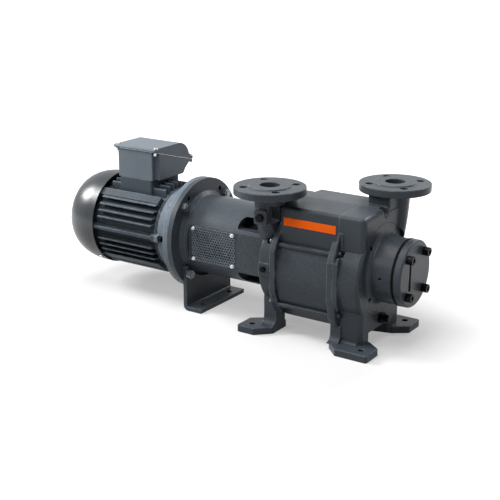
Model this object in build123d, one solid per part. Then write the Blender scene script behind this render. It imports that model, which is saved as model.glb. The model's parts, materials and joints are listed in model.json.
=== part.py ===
from build123d import *
import os
from math import asin, cos, degrees, pi, radians, sin, sqrt

# A close-coupled liquid ring vacuum pump: the motor on the left, a lantern with the
# coupling in the middle and the pump on the right. X runs along the shaft to the
# non-drive end, the pump's front is at -Y, and the origin lies on the base plane in
# the middle of the pump's four foot holes. All sizes are in millimetres.

# Heights
shaft_height = 160.0
casing_offset = 15.0          # the working chamber's axis lies this far below the shaft
casing_z = shaft_height - casing_offset

# Small gaps
running_gap = 0.05            # turning shaft in its bush or seal
part_gap = 0.3                # between pieces that only stand beside each other

# Feet of the pump
foot_hole_spacing_x = 260.0
foot_hole_spacing_y = 198.0
foot_hole_r = 7.0
foot_edge_x = 24.5            # from a hole's centre to the foot's outer end
foot_half_width = 122.5
foot_inner_y = 72.0
foot_thickness = 15.0
foot_corner_r = 5.0
leg_half_width = 84.0
leg_inner_y = 45.0
arch_height = 35.0
foot_end_x = foot_hole_spacing_x / 2 + foot_edge_x

# Ring casing with its working chamber and the gas box on top
ring_x0 = -82.5
ring_length = 147.5
ring_flange = 12.5
ring_x1 = ring_x0 + ring_length
chamber_r = 92.0
ring_flange_r = 115.5
ring_flange_half_width = 108.0
ring_flange_bottom = 50.0
barrel_half_width = 102.0
barrel_edge_half_width = 86.5
barrel_edge_top = 198.0
barrel_edge_bottom = 70.0
sump_half_width = 44.0
sump_bottom = 31.0
lip_depth = 2.5
lip_height = 4.0
box_half_width = 84.0
box_top = 279.5
box_ridge = 3.0               # the top rises this much to the parting line
box_x0 = ring_x0 + ring_flange
casing_bolt_y = 88.0
casing_bolt_top = 203.0
casing_bolt_bottom = 72.0
casing_bolt_r = 3.0
casing_bolt_lug = 5.0
casing_bolt_lug_r = 7.0

# Drive-side casing
drive_x0 = -114.0
drive_disc_r = 106.0
neck_block_half_width = 55.0
drive_leg_x0 = -113.0
drive_leg_half_width = 80.0
side_boss_x = -98.0
side_boss_size = 26.0
side_boss_y = 107.5
side_plug_r = 4.0
side_plug_flats = 11.0
leg_flare_r = 16.0

# Non-drive casing
end_x = 122.0
tower_corner_r = 10.0
band_r = 105.0
band_flange = 11.5
band_flange_top = 197.0
band_flange_bottom = 86.0
collar_half_width = 88.0
collar_top = 245.0
band_x0 = ring_x1 + band_flange
leg_rib_x0 = ring_x1 - ring_flange + 0.5
leg_rib_inner_y = 63.0
notch_r = 11.0
notch_y = 8.5
notch_z = 273.0
notch_x0 = 106.0

# Ports: DN 40 flanges on top of each casing
port_x_drive = -97.0
port_x_end = 101.0
port_y = 84.5
port_face_z = shaft_height + 160.0
port_flange_r = 75.0
port_flange_thickness = 18.0
port_raised_r = 44.0
port_raised_height = 2.0
port_pcd = 110.0
port_hole_r = 9.0
port_bore_r = 21.5
port_bore_depth = 78.0
neck_r = 32.0
neck_mid_r = 30.0
neck_mid_z = 262.0
neck_foot_r = 19.0
neck_foot_z = 195.0
neck_foot_y = 66.0
neck_lean = 11.0
duct_x_drive = (-127.0, -67.0)
duct_x_end = (71.0, 120.5)
duct_inner_y = 24.0
duct_bottom = 272.0
gauge_boss_size = 30.0
gauge_boss_z = 258.5
gauge_boss_y = 121.0
gauge_plug_r = 6.0
gauge_plug_flats = 15.0

# Lantern between motor and pump
lantern_length = 210.6
lantern_x0 = drive_x0 - lantern_length
lantern_end_wall = 10.0
lantern_screw_r = 3.0
lantern_screw_pcd = 132.0
lantern_r = 88.0
lantern_bore_r = 72.0
lantern_flat_y = 78.0
lantern_flange_r = 125.0
lantern_flange = 12.0
flange_pcd = 215.0
flange_bolt_r = 6.0
flange_hole_r = 7.0
flange_nut = 9.5
spigot_r = 90.0
spigot_depth = 4.0
spare_hole_angle = 57.5
window_x0 = -291.5
window_x1 = -200.0
window_half_height = 29.0
hatch_x0 = -186.0
hatch_x1 = -127.0
hatch_z0 = 47.5               # above and below the shaft
hatch_z1 = 72.0
hatch_outer_r = 14.0
hatch_inner_r = 5.0
guard_border = 11.0
guard_thickness = 1.5
mesh_pitch = 11.0
mesh_hole = 8.0
foot_plate_thickness = 9.0
foot_plate_half_width = 84.5
foot_plate_length = 47.6
foot_plate_height = 102.0
foot_plate_round_r = 118.0
foot_plate_hole_spacing = 100.0
foot_plate_hole_x = 28.5
foot_plate_bend_r = 12.0

# Motor
motor_face_x = lantern_x0 - lantern_flange
shield_flange = 12.0
shield_r = 98.0
motor_bearing_inset = 14.0
shield_length = 51.4
frame_length = 200.6
frame_core_r = 88.0
frame_bore_r = 75.0
fin_tip_r = 105.5
fin_thickness = 3.0
fin_pitch = 14.3
fin_first = 25.5              # from the main fin to the next one
fin_count = 4
fin_x0 = -556.0
fin_x1 = -400.0
main_fin_thickness = 6.5
main_fin_x1 = -391.0
ear_length = 9.0
ear_half_height = 8.0
ear_y = 98.0
ear_boss_length = 10.0
frame_x1 = motor_face_x - shield_length
frame_x0 = frame_x1 - frame_length
pad_half_width = 9.0
pad_distance = 103.0
pad_angle = 49.0
rear_shield_length = 12.0
stator_length = 130.0
stator_centre_x = -478.0
air_gap = 0.5
stator_bore_r = 47.0
rotor_r = stator_bore_r - air_gap
cowl_x1 = -566.5
cowl_length = 96.0
cowl_straight = 18.0
cowl_r = 108.5
cowl_wall = 2.0
cowl_end_r = 66.0
cowl_screw_x = cowl_x1 - 9.0
fan_r = 88.0
fan_hub_r = 24.0
fan_blade_count = 7

# Terminal box
terminal_x0 = -541.0
terminal_x1 = -423.0
terminal_front_y = -50.0
terminal_wall = 3.5
terminal_seat_z = 258.0
terminal_seat_margin = 12.0
terminal_base_z = 274.0
terminal_front_z = 339.5      # the slanting joint between box and lid, at the front
terminal_rear_y = 74.0
terminal_rear_z = 304.5       # the same joint at the rear
terminal_foot_y = 50.0
terminal_top_z = 347.0
terminal_corner_x = 9.5       # pockets for the lid's screws at the front corners
terminal_corner_y = 14.0
joint_gap = 0.3
lid_screw_r = 3.0

# Shafts and bearings
bearing_bore_r = 17.5
bearing_outer_r = 40.0
bearing_width = 21.0
ball_r = 6.7
ball_count = 8
pump_shaft_r = 20.0
shaft_end_r = 14.0
coupling_r = 42.0
coupling_hub_length = 38.0
spider_width = 18.0
jaw_angle = 24.0
spider_bore_r = 17.0
motor_shaft_end_x = motor_face_x + 60.0
pump_shaft_x0 = motor_shaft_end_x + spider_width
drive_bearing_x = -192.0
end_bearing_x = 150.0
port_plate = 8.0

# Bearing housings
housing_flange_r = 93.0
housing_flange = 12.0
housing_root_r = 9.0
housing_r = 68.5
housing_x1 = 175.0
housing_screw_pcd = 153.0
cap_gap = 3.4
cap_r = 69.35
cap_x1 = 194.4
cap_bevel = 4.0
cap_screw_y = 36.3
cap_screw_dz = 39.0
cap_screw_head = 13.0
cap_screw_r = 5.6
cap_recess_wall = 9.0
cap_groove_y = -24.0
cap_groove_width = 9.0
cap_groove_depth = 5.0
cap_groove_half_height = 31.0
drain_plug_r = 8.0
drain_y = -3.0
drain_z = 53.0
drive_housing_r = 56.0
drive_housing_x0 = -204.0

# Impeller
tip_gap = 1.0
impeller_r = chamber_r - casing_offset - tip_gap
impeller_hub_r = 31.0
blade_count = 12
blade_thickness = 4.0
blade_lean = 34.0
side_gap = 0.3

centre = (Align.CENTER, Align.CENTER, Align.CENTER)
upright = (Align.CENTER, Align.CENTER, Align.MIN)


def x_cylinder(radius, x0, x1, y=0.0, z=shaft_height):
    """A round bar along X."""
    return Pos(x0, y, z) * Rot(0, 90, 0) * Cylinder(radius, x1 - x0, align=upright)


def x_tube(outer_r, inner_r, x0, x1, z=shaft_height):
    """A round tube along X."""
    return x_cylinder(outer_r, x0, x1, z=z) - x_cylinder(inner_r, x0 - 1, x1 + 1, z=z)


def turned(points, z=shaft_height):
    """A turned piece: its half section as (x, radius) points, spun about the shaft axis."""
    plane = Plane((0, 0, z), x_dir=(1, 0, 0), z_dir=(0, -1, 0))
    section = plane * make_face(Polyline(*points, close=True))
    return revolve(section, Axis((0, 0, z), (1, 0, 0)), 360)


def across(sketch, x0, x1):
    """A section drawn in (y, z), drawn out along X."""
    return extrude(Plane.YZ.offset(x0) * sketch, x1 - x0)


def block(x0, x1, y0, y1, z0, z1):
    """A rectangular piece between two corners."""
    box = Box(x1 - x0, y1 - y0, z1 - z0, align=(Align.MIN, Align.MIN, Align.MIN))
    return Pos(x0, y0, z0) * box


def around_x(radius, count, first_angle=45.0, z=shaft_height):
    """Places (y, z) on a circle about the shaft axis."""
    places = []
    for i in range(count):
        angle = radians(first_angle + 360.0 * i / count)
        places.append((radius * cos(angle), z + radius * sin(angle)))
    return places


def hexagon_x(across_flats, x0, x1, y, z):
    """A hexagonal head or nut along X."""
    sketch = RegularPolygon(across_flats / 2, 6, major_radius=False)
    return extrude(Plane.YZ.offset(x0) * Pos(y, z) * sketch, x1 - x0)


def hex_bolt_x(size_r, x_head, length, y, z, head_side=1):
    """A hexagon head bolt along X; the head lies on the side that head_side names."""
    head = size_r * 1.3
    flats = size_r * 3.2
    if head_side > 0:
        shank = x_cylinder(size_r, x_head - length, x_head, y, z)
        return shank + hexagon_x(flats, x_head, x_head + head, y, z)
    shank = x_cylinder(size_r, x_head, x_head + length, y, z)
    return shank + hexagon_x(flats, x_head - head, x_head, y, z)


def socket_screw_x(size_r, x_seat, length, y, z, head):
    """A socket head screw along X with its head towards +X."""
    screw = x_cylinder(size_r, x_seat - length, x_seat, y, z)
    screw += x_cylinder(size_r * 1.6, x_seat, x_seat + head, y, z)
    return screw - hexagon_x(size_r * 1.6, x_seat + head / 2, x_seat + head + 1, y, z)


def hollow_corner(radius, x0, x1, wall_y, floor_z):
    """The metal that rounds the inner corner between a wall, facing wall_y's side, and a floor."""
    side = 1 if wall_y > 0 else -1
    y_pair = sorted((wall_y - side, wall_y + side * radius))
    corner = block(x0, x1, *y_pair, floor_z - 1, floor_z + radius)
    return corner - x_cylinder(radius, x0 - 1, x1 + 1, wall_y + side * radius, floor_z + radius)


def hollow_corner_across(radius, y0, y1, wall_x, floor_z, direction):
    """The same for a wall that faces along X."""
    x_pair = sorted((wall_x - direction, wall_x + direction * radius))
    corner = block(*x_pair, y0, y1, floor_z - 1, floor_z + radius)
    place = Pos(wall_x + direction * radius, (y0 + y1) / 2, floor_z + radius)
    return corner - place * Rot(90, 0, 0) * Cylinder(radius, y1 - y0 + 2, align=centre)


def fused(pieces):
    """One solid from pieces that touch."""
    result = pieces[0]
    for piece in pieces[1:]:
        result = result + piece
    return result


def group(pieces):
    """Separate solids in one node."""
    return Compound(children=[Compound(p.solids()) if len(p.solids()) > 1 else p.solids()[0] for p in pieces])


# Port necks, shared by both casings


def port_outside(x, side, duct_x):
    """Neck, duct and flange of a port; side is -1 at the front and 1 at the rear."""
    lean = side * neck_lean
    top = Plane.XY.offset(port_face_z - port_flange_thickness + 1) * Pos(x, side * port_y) * Circle(neck_r)
    middle = Plane.XY.offset(neck_mid_z) * Pos(x + lean * 0.1, side * (port_y - 1.5)) * Circle(neck_mid_r)
    foot = Plane.XY.offset(neck_foot_z) * Pos(x + lean, side * neck_foot_y) * Circle(neck_foot_r)
    neck = loft([foot, middle, top])
    y_pair = sorted((side * duct_inner_y, side * port_y))
    under_flange = port_face_z - port_flange_thickness
    duct = block(*duct_x, *y_pair, duct_bottom, under_flange + 1)
    duct = fillet(duct.edges().filter_by(Axis.Z), 3)
    flange = Pos(x, side * port_y, under_flange) * Cylinder(
        port_flange_r, port_flange_thickness - port_raised_height, align=upright)
    flange = fillet(flange.edges().filter_by(GeomType.CIRCLE), 1.5)
    raised = Pos(x, side * port_y, under_flange) * Cylinder(
        port_raised_r, port_flange_thickness, align=upright)
    return neck + duct + flange + raised


def port_holes(x, side):
    """The bore and the four bolt holes of a port."""
    bore = Pos(x, side * port_y, port_face_z - port_bore_depth) * Cylinder(
        port_bore_r, port_bore_depth + 1, align=upright)
    holes = bore
    for i in range(4):
        angle = radians(45 + 90 * i)
        place = Pos(x + port_pcd / 2 * cos(angle), side * port_y + port_pcd / 2 * sin(angle),
                    port_face_z - port_flange_thickness - 1)
        holes += place * Cylinder(port_hole_r, port_flange_thickness + 2, align=upright)
    return holes


def gauge_boss(x, side):
    """The square boss on the outside of a neck, with a threaded hole for a plug."""
    half = gauge_boss_size / 2
    y_pair = sorted((side * (port_y + 10), side * gauge_boss_y))
    boss = block(x - half, x + half, *y_pair, gauge_boss_z - half, gauge_boss_z + half)
    return fillet(boss.edges().filter_by(Axis.Y), 4)


def foot_plate(direction, side, inner):
    """A foot plate under a casing. direction is 1 towards +X, side is the sign of Y."""
    outer = foot_end_x
    points = [
        (outer, foot_half_width),
        (outer, foot_inner_y),
        (outer - 30, foot_inner_y - 22),
        (inner + 24, leg_inner_y - 8),
        (inner, leg_inner_y - 8),
        (inner, foot_half_width - 30),
        (inner + 30, foot_half_width),
    ]
    outline = Polyline(*[(direction * px, side * py) for px, py in points], close=True)
    plate = extrude(make_face(outline), foot_thickness)
    plate = fillet(plate.edges().filter_by(Axis.Z), foot_corner_r)
    return fillet(plate.faces().sort_by(Axis.Z)[-1].edges(), 2)


def foot_holes(direction):
    """The two holes of a casing's feet, and the relief across each sole."""
    x = direction * foot_hole_spacing_x / 2
    cuts = []
    for side in (-1, 1):
        cuts.append(Pos(x, side * foot_hole_spacing_y / 2, -1)
                    * Cylinder(foot_hole_r, foot_thickness + 12, align=upright))
    return cuts


# Pump castings


def ring_flange_outline():
    """The flange's outline in (y, z): round, with flat sides and a flat foot."""
    outline = Pos(0, casing_z) * Circle(ring_flange_r)
    height = 300
    return outline & Pos(0, ring_flange_bottom + height / 2) * Rectangle(2 * ring_flange_half_width, height)


def barrel_section():
    """The barrel's outline in (y, z): bulging sides, drip lips and a flat sump."""
    half = barrel_edge_half_width
    mid_z = (barrel_edge_top + barrel_edge_bottom) / 2
    right = ThreePointArc((half, barrel_edge_bottom), (barrel_half_width, mid_z), (half, barrel_edge_top))
    top = Line((half, barrel_edge_top), (-half, barrel_edge_top))
    left = ThreePointArc((-half, barrel_edge_top), (-barrel_half_width, mid_z), (-half, barrel_edge_bottom))
    under = Polyline(
        (-half, barrel_edge_bottom),
        (-half, barrel_edge_bottom - lip_height),
        (-half + 14, barrel_edge_bottom - lip_height - 2),
        (-sump_half_width, sump_bottom),
        (sump_half_width, sump_bottom),
        (half - 14, barrel_edge_bottom - lip_height - 2),
        (half, barrel_edge_bottom - lip_height),
        (half, barrel_edge_bottom),
    )
    return make_face([right, top, left, under])


def box_section(bottom):
    """The gas box's outline in (y, z), with the top rising to the parting line."""
    outline = Polyline(
        (-box_half_width, bottom),
        (-box_half_width, box_top),
        (0, box_top + box_ridge),
        (box_half_width, box_top),
        (box_half_width, bottom),
        close=True,
    )
    return make_face(outline)


def ring_casing():
    """The barrel round the working chamber, its two flanges and the gas box on top."""
    body = across(barrel_section(), ring_x0 + 1, ring_x1 - 1)
    edge = barrel_edge_half_width + lip_depth
    for z0 in (barrel_edge_top, barrel_edge_bottom - lip_height):
        lip = block(ring_x0 + 1, ring_x1 - 1, -edge, edge, z0, z0 + lip_height)
        body += fillet(lip.edges().filter_by(Axis.X), 1.2)
    box = across(box_section(barrel_edge_top), box_x0, ring_x1)
    body += fillet(box.edges().filter_by(Axis.X).sort_by(Axis.Z)[-3:-1], 7)
    body += block(ring_x0, box_x0 + 1, -neck_block_half_width, neck_block_half_width, casing_z, box_top)
    for x0 in (ring_x0, ring_x1 - ring_flange):
        flange = across(ring_flange_outline(), x0, x0 + ring_flange)
        body += chamfer(flange.faces().filter_by(Axis.X).sort_by(Axis.X)[-1].edges(), 1.2)
    body -= x_cylinder(chamber_r, ring_x0 - 1, ring_x1 + 1, z=casing_z)
    body -= across(crossover_section(), ring_x0 - 1, ring_x1 + 1)
    for y, z in casing_bolt_places():
        body -= x_cylinder(casing_bolt_r + 0.05, ring_x0 - 1, ring_x0 + ring_flange + 1, y, z)
        body -= x_cylinder(casing_bolt_r + 0.05, ring_x1 - ring_flange - 1, ring_x1 + 1, y, z)
    return body


def crossover_section():
    """The gas passage through the top of all three casings, in (y, z)."""
    return Pos(0, 256) * RectangleRounded(80, 24, 6)


def casing_bolt_places():
    """The places (y, z) of the bolts that hold the casings together."""
    return [(sy * casing_bolt_y, z) for sy in (-1, 1) for z in (casing_bolt_bottom, casing_bolt_top)]


def drive_side_casing():
    """The casing on the motor's side, with the front port and two feet."""
    disc = x_cylinder(drive_disc_r, drive_x0, ring_x0, z=casing_z)
    disc = fillet(disc.edges().filter_by(GeomType.CIRCLE).sort_by(Axis.X)[0], 7)
    body = disc + port_outside(port_x_drive, -1, duct_x_drive)
    upper = block(drive_x0, ring_x0, -neck_block_half_width, neck_block_half_width, casing_z, box_top)
    body += fillet(upper.edges().filter_by(Axis.Z).sort_by(Axis.X)[:2], 8)
    for side in (-1, 1):
        y_pair = sorted((side * leg_inner_y, side * drive_leg_half_width))
        body += block(drive_leg_x0, ring_x0, *y_pair, 1, casing_z - 20)
        body += foot_plate(-1, side, -ring_x0)
        body += hollow_corner(leg_flare_r, drive_leg_x0, ring_x0, side * drive_leg_half_width, foot_thickness)
        body += hollow_corner_across(8, *y_pair, drive_leg_x0, foot_thickness, -1)
    for y, z in casing_bolt_places():
        body += x_cylinder(casing_bolt_lug_r, ring_x0 - casing_bolt_lug, ring_x0, y, z)
    body += gauge_boss(port_x_drive, -1)
    half = side_boss_size / 2
    boss = block(side_boss_x - half, side_boss_x + half, -side_boss_y, -80, casing_z - half, casing_z + half)
    body += fillet(boss.edges().filter_by(Axis.Y), 3)
    body -= block(ring_x0, 0, -200, 200, -1, box_top + box_ridge)
    body -= x_cylinder(lantern_r + part_gap, drive_x0 - 60, drive_x0)
    for hole in foot_holes(-1):
        body -= hole
    body -= port_holes(port_x_drive, -1)
    body -= x_cylinder(48, drive_x0 - 1, ring_x0 + 1)
    body -= across(crossover_section(), port_x_drive, ring_x0 + 1)
    body -= Pos(port_x_drive, -gauge_boss_y - 1, gauge_boss_z) * Rot(-90, 0, 0) * Cylinder(
        gauge_plug_r + 0.05, 14, align=upright)
    body -= Pos(side_boss_x, -side_boss_y - 1, casing_z) * Rot(-90, 0, 0) * Cylinder(
        side_plug_r + 0.05, 12, align=upright)
    for y, z in casing_bolt_places():
        body -= x_cylinder(casing_bolt_r + 0.05, ring_x0 - casing_bolt_lug - 1, ring_x0 + 1, y, z)
        body -= x_cylinder(casing_bolt_lug_r, ring_x0 - 16, ring_x0 - casing_bolt_lug, y, z)
    for y, z in around_x(lantern_screw_pcd / 2, 4):
        body -= x_cylinder(lantern_screw_r + 0.05, drive_x0 - 1, drive_x0 + 14, y, z)
    return body


def non_drive_casing():
    """The casing at the free end, with the rear port and two feet."""
    tower = across(box_section(arch_height), ring_x1, end_x)
    tower = fillet(tower.edges().filter_by(Axis.X).sort_by(Axis.Z)[-3:-1], 7)
    corners = tower.edges().filter_by(Axis.Z).filter_by_position(Axis.X, end_x - 0.1, end_x + 0.1)
    tower = fillet(corners, tower_corner_r)
    tower -= block(notch_x0, end_x + 1, notch_y - notch_r, notch_y + notch_r, notch_z, box_top + 20)
    tower -= x_cylinder(notch_r, notch_x0, end_x + 1, notch_y, notch_z)
    tower -= block(duct_x_end[1], end_x + 1, notch_y, box_half_width + 1, notch_z, box_top + 20)
    band = x_cylinder(band_r, band_x0 - 1, end_x, z=casing_z)
    band = fillet(band.edges().filter_by(GeomType.CIRCLE).sort_by(Axis.X)[-1], 7)
    plate_height = band_flange_top - band_flange_bottom
    plate_limit = Pos(0, (band_flange_top + band_flange_bottom) / 2) * Rectangle(300, plate_height)
    plate = across(ring_flange_outline() & plate_limit, ring_x1, band_x0)
    plate = fillet(plate.faces().filter_by(Axis.X).sort_by(Axis.X)[-1].edges(), 2)
    collar = block(ring_x1, band_x0, -collar_half_width, collar_half_width, casing_z, collar_top)
    collar = fillet(collar.faces().filter_by(Axis.X).sort_by(Axis.X)[-1].edges(), 2)
    body = tower + band + plate + collar + port_outside(port_x_end, 1, duct_x_end)
    for side in (-1, 1):
        y_pair = sorted((side * leg_inner_y, side * leg_half_width))
        leg = block(ring_x1, end_x, *y_pair, 1, casing_z - 20)
        leg = fillet(leg.edges().filter_by(Axis.Z).sort_by(Axis.X)[-2:], tower_corner_r)
        body += leg
        rib = sorted((side * leg_rib_inner_y, side * collar_half_width))
        body += block(leg_rib_x0, band_x0, *rib, 1, ring_flange_bottom - part_gap)
        body += foot_plate(1, side, leg_rib_x0 - part_gap)
        body += hollow_corner(leg_flare_r, leg_rib_x0, band_x0, side * collar_half_width, foot_thickness)
        body += hollow_corner(7, band_x0, end_x - tower_corner_r, side * leg_half_width, foot_thickness)
    for hole in foot_holes(1):
        body -= hole
    body -= port_holes(port_x_end, 1)
    body -= x_cylinder(housing_flange_r + part_gap, end_x - housing_flange - part_gap, end_x + 60)
    body -= x_cylinder(60, ring_x1 + 20, end_x + 1)
    body -= x_cylinder(48, ring_x1 - 1, end_x + 1)
    body -= across(crossover_section(), ring_x1 - 1, port_x_end)
    body -= x_cylinder(drain_plug_r + 0.05, end_x - 12, end_x + 7, drain_y, drain_z)
    for y, z in casing_bolt_places():
        body -= x_cylinder(casing_bolt_r + 0.05, ring_x1 - 1, ring_x1 + casing_bolt_lug + 1, y, z)
        body -= x_cylinder(casing_bolt_lug_r, ring_x1 + casing_bolt_lug, ring_x1 + 16, y, z)
    for y, z in around_x(housing_screw_pcd / 2, 4):
        body -= x_cylinder(3.05, end_x - housing_flange - 14, end_x - housing_flange + 1, y, z)
    return body


# Lantern


def lantern():
    """The tube between motor and pump, with guard windows and hatches."""
    x0 = lantern_x0 - lantern_flange
    body = turned([
        (x0, lantern_bore_r),
        (x0, lantern_flange_r),
        (lantern_x0, lantern_flange_r),
        (lantern_x0, lantern_r + 8),
        (lantern_x0 + 8, lantern_r),
        (drive_x0, lantern_r),
        (drive_x0, 60),
        (drive_x0 - lantern_end_wall, 60),
        (drive_x0 - lantern_end_wall, lantern_bore_r),
    ])
    for side in (-1, 1):
        y_pair = sorted((side * lantern_flat_y, side * 130))
        body -= block(lantern_x0 + 14, drive_x0 + 1, *y_pair, shaft_height - 60, shaft_height + 60)
    body -= x_cylinder(spigot_r + 0.05, x0 - 1, x0 + spigot_depth + 0.5)
    body -= block(window_x0, window_x1, -130, 130, shaft_height - window_half_height,
                  shaft_height + window_half_height)
    for side in (-1, 1):
        z0, z1 = sorted((shaft_height + side * hatch_z0, shaft_height + side * hatch_z1))
        cutter = block(hatch_x0, hatch_x1, -130, 130, z0, z1)
        corners = cutter.edges().filter_by(Axis.Y).sort_by(Axis.Z)
        outer = corners[-2:] if side > 0 else corners[:2]
        cutter = fillet(outer, hatch_outer_r)
        inner = cutter.edges().filter_by(Axis.Y).sort_by(Axis.Z)
        body -= fillet(inner[:2] if side > 0 else inner[-2:], hatch_inner_r)
    for y, z in around_x(flange_pcd / 2, 4):
        body -= x_cylinder(flange_hole_r, x0 - 1, lantern_x0 + 1, y, z)
    for angle in (spare_hole_angle, 180 - spare_hole_angle, -spare_hole_angle, spare_hole_angle - 180):
        y = flange_pcd / 2 * cos(radians(angle))
        z = shaft_height + flange_pcd / 2 * sin(radians(angle))
        body -= x_cylinder(flange_hole_r - 1, x0 - 1, lantern_x0 + 1, y, z)
    for y, z in around_x(lantern_screw_pcd / 2, 4):
        body -= x_cylinder(lantern_screw_r + 0.4, drive_x0 - 12, drive_x0 + 1, y, z)
    for x, y, z in guard_screw_places():
        body -= Pos(x, y, z) * Rot(90, 0, 0) * Cylinder(2.5, 30, align=centre)
    return body


def lantern_screws():
    """The screws inside the lantern that hold it to the pump, heads towards the motor."""
    screws = []
    x_seat = drive_x0 - lantern_end_wall
    for y, z in around_x(lantern_screw_pcd / 2, 4):
        screw = x_cylinder(lantern_screw_r, x_seat, drive_x0 + 12, y, z)
        screw += x_cylinder(lantern_screw_r * 1.65, x_seat - 6, x_seat, y, z)
        screws.append(screw - hexagon_x(lantern_screw_r * 1.65, x_seat - 7, x_seat - 3, y, z))
    return group(screws)


def guard_screw_places():
    """The guard screws' places on both flat sides."""
    border = guard_border
    places = []
    for side in (-1, 1):
        for x in (window_x0 - border / 2, window_x1 + border / 2):
            for dz in (-1, 1):
                z = shaft_height + dz * (window_half_height + border / 2)
                places.append((x, side * lantern_flat_y, z))
    return places


def mesh_guard(side):
    """A perforated guard over a lantern window."""
    y_pair = sorted((side * lantern_flat_y, side * (lantern_flat_y + guard_thickness)))
    border = guard_border
    z0 = shaft_height - window_half_height - border
    z1 = shaft_height + window_half_height + border
    plate = block(window_x0 - border, window_x1 + border, *y_pair, z0, z1)
    columns = int((window_x1 - window_x0) / mesh_pitch)
    rows = int(2 * window_half_height / mesh_pitch)
    for i in range(columns):
        for j in range(rows):
            x = (window_x0 + window_x1) / 2 + (i - (columns - 1) / 2) * mesh_pitch
            z = shaft_height + (j - (rows - 1) / 2) * mesh_pitch
            plate -= Pos(x, side * lantern_flat_y, z) * Box(mesh_hole, 12, mesh_hole, align=centre)
    for x, y, z in guard_screw_places():
        if y * side > 0:
            plate -= Pos(x, y, z) * Rot(90, 0, 0) * Cylinder(2.5, 30, align=centre)
    return plate


def guard_screws():
    """Pan head screws that hold the guards."""
    screws = []
    for x, y, z in guard_screw_places():
        out = 1 if y > 0 else -1
        turn = Rot(-90 * out, 0, 0)
        face = Pos(x, y + out * guard_thickness, z)
        head = face * turn * Cylinder(4.2, 2.6, align=upright)
        shank = Pos(x, y, z) * turn * Cylinder(2.4, 16, align=centre)
        screws.append(head + shank)
    return group(screws)


def lantern_foot():
    """The bent plate that carries the lantern flange."""
    x0 = lantern_x0
    profile = make_face(Polyline(
        (x0, 0),
        (x0 + foot_plate_length, 0),
        (x0 + foot_plate_length, foot_plate_thickness),
        (x0 + foot_plate_thickness, foot_plate_thickness),
        (x0 + foot_plate_thickness, foot_plate_height),
        (x0, foot_plate_height),
        close=True))
    bracket = extrude(Plane.XZ * profile, foot_plate_half_width, both=True)
    bends = bracket.edges().filter_by(Axis.Y)
    outer = bends.filter_by_position(Axis.Z, -0.1, 0.1).sort_by(Axis.X)[0]
    bracket = fillet(outer, foot_plate_bend_r)
    inner = bracket.edges().filter_by(Axis.Y).filter_by_position(
        Axis.Z, foot_plate_thickness - 0.1, foot_plate_thickness + 0.1).sort_by(Axis.X)[0]
    bracket = fillet(inner, 3)
    corners = block(x0 - 1, x0 + foot_plate_thickness + 1, -200, 200, 78, 200)
    bracket -= corners - x_cylinder(foot_plate_round_r, x0 - 2, x0 + foot_plate_thickness + 2)
    bracket -= x_cylinder(lantern_r + 8.4, x0 - 1, x0 + foot_plate_thickness + 1)
    for y, z in around_x(flange_pcd / 2, 4):
        bracket -= x_cylinder(flange_hole_r, x0 - 1, x0 + foot_plate_thickness + 1, y, z)
    for side in (-1, 1):
        bracket -= Pos(x0 + foot_plate_hole_x, side * foot_plate_hole_spacing / 2, -1) * Cylinder(
            foot_hole_r, foot_plate_thickness + 2, align=upright)
    return bracket


def flange_bolts():
    """The four bolts through motor flange, lantern flange and, below, the foot plate."""
    bolts = []
    for y, z in around_x(flange_pcd / 2, 4):
        seat = lantern_x0 + (foot_plate_thickness if z < shaft_height else 0)
        head_x = motor_face_x - shield_flange
        bolts.append(hex_bolt_x(flange_bolt_r, head_x, seat + flange_nut + 2 - head_x, y, z, -1))
    return group(bolts)


def flange_nuts():
    """The nuts of the flange bolts."""
    nuts = []
    for y, z in around_x(flange_pcd / 2, 4):
        seat = lantern_x0 + (foot_plate_thickness if z < shaft_height else 0)
        nut = hexagon_x(3 * flange_bolt_r, seat, seat + flange_nut, y, z)
        nuts.append(nut - x_cylinder(flange_bolt_r + 0.02, seat - 1, seat + flange_nut + 1, y, z))
    return group(nuts)


# Motor


def fin_section():
    """The thin fins in (y, z) about the motor's axis."""
    fins = Sketch() + [Pos(0, side * (fin_first + i * fin_pitch)) * Rectangle(2 * fin_tip_r, fin_thickness)
                       for i in range(fin_count) for side in (-1, 1)]
    fins += [Pos(i * fin_pitch, -fin_tip_r / 2) * Rectangle(fin_thickness, fin_tip_r) for i in range(-4, 5)]
    fins += [Pos(i * fin_pitch, fin_tip_r / 2) * Rectangle(fin_thickness, fin_tip_r) for i in range(-3, 4)]
    return Circle(fin_tip_r) & fins


def main_fin_section():
    """The two main fins in (y, z) about the motor's axis."""
    return Circle(fin_tip_r) & Rectangle(2 * fin_tip_r, main_fin_thickness)


def pad_section():
    """The four flat pads in (y, z) about the motor's axis."""
    pads = Sketch()
    for angle in (pad_angle, 180 - pad_angle, -pad_angle, pad_angle - 180):
        pads += Rot(0, 0, angle) * Pos(pad_distance - 15, 0) * Rectangle(30, 2 * pad_half_width)
    return Circle(fin_tip_r) & pads


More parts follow.
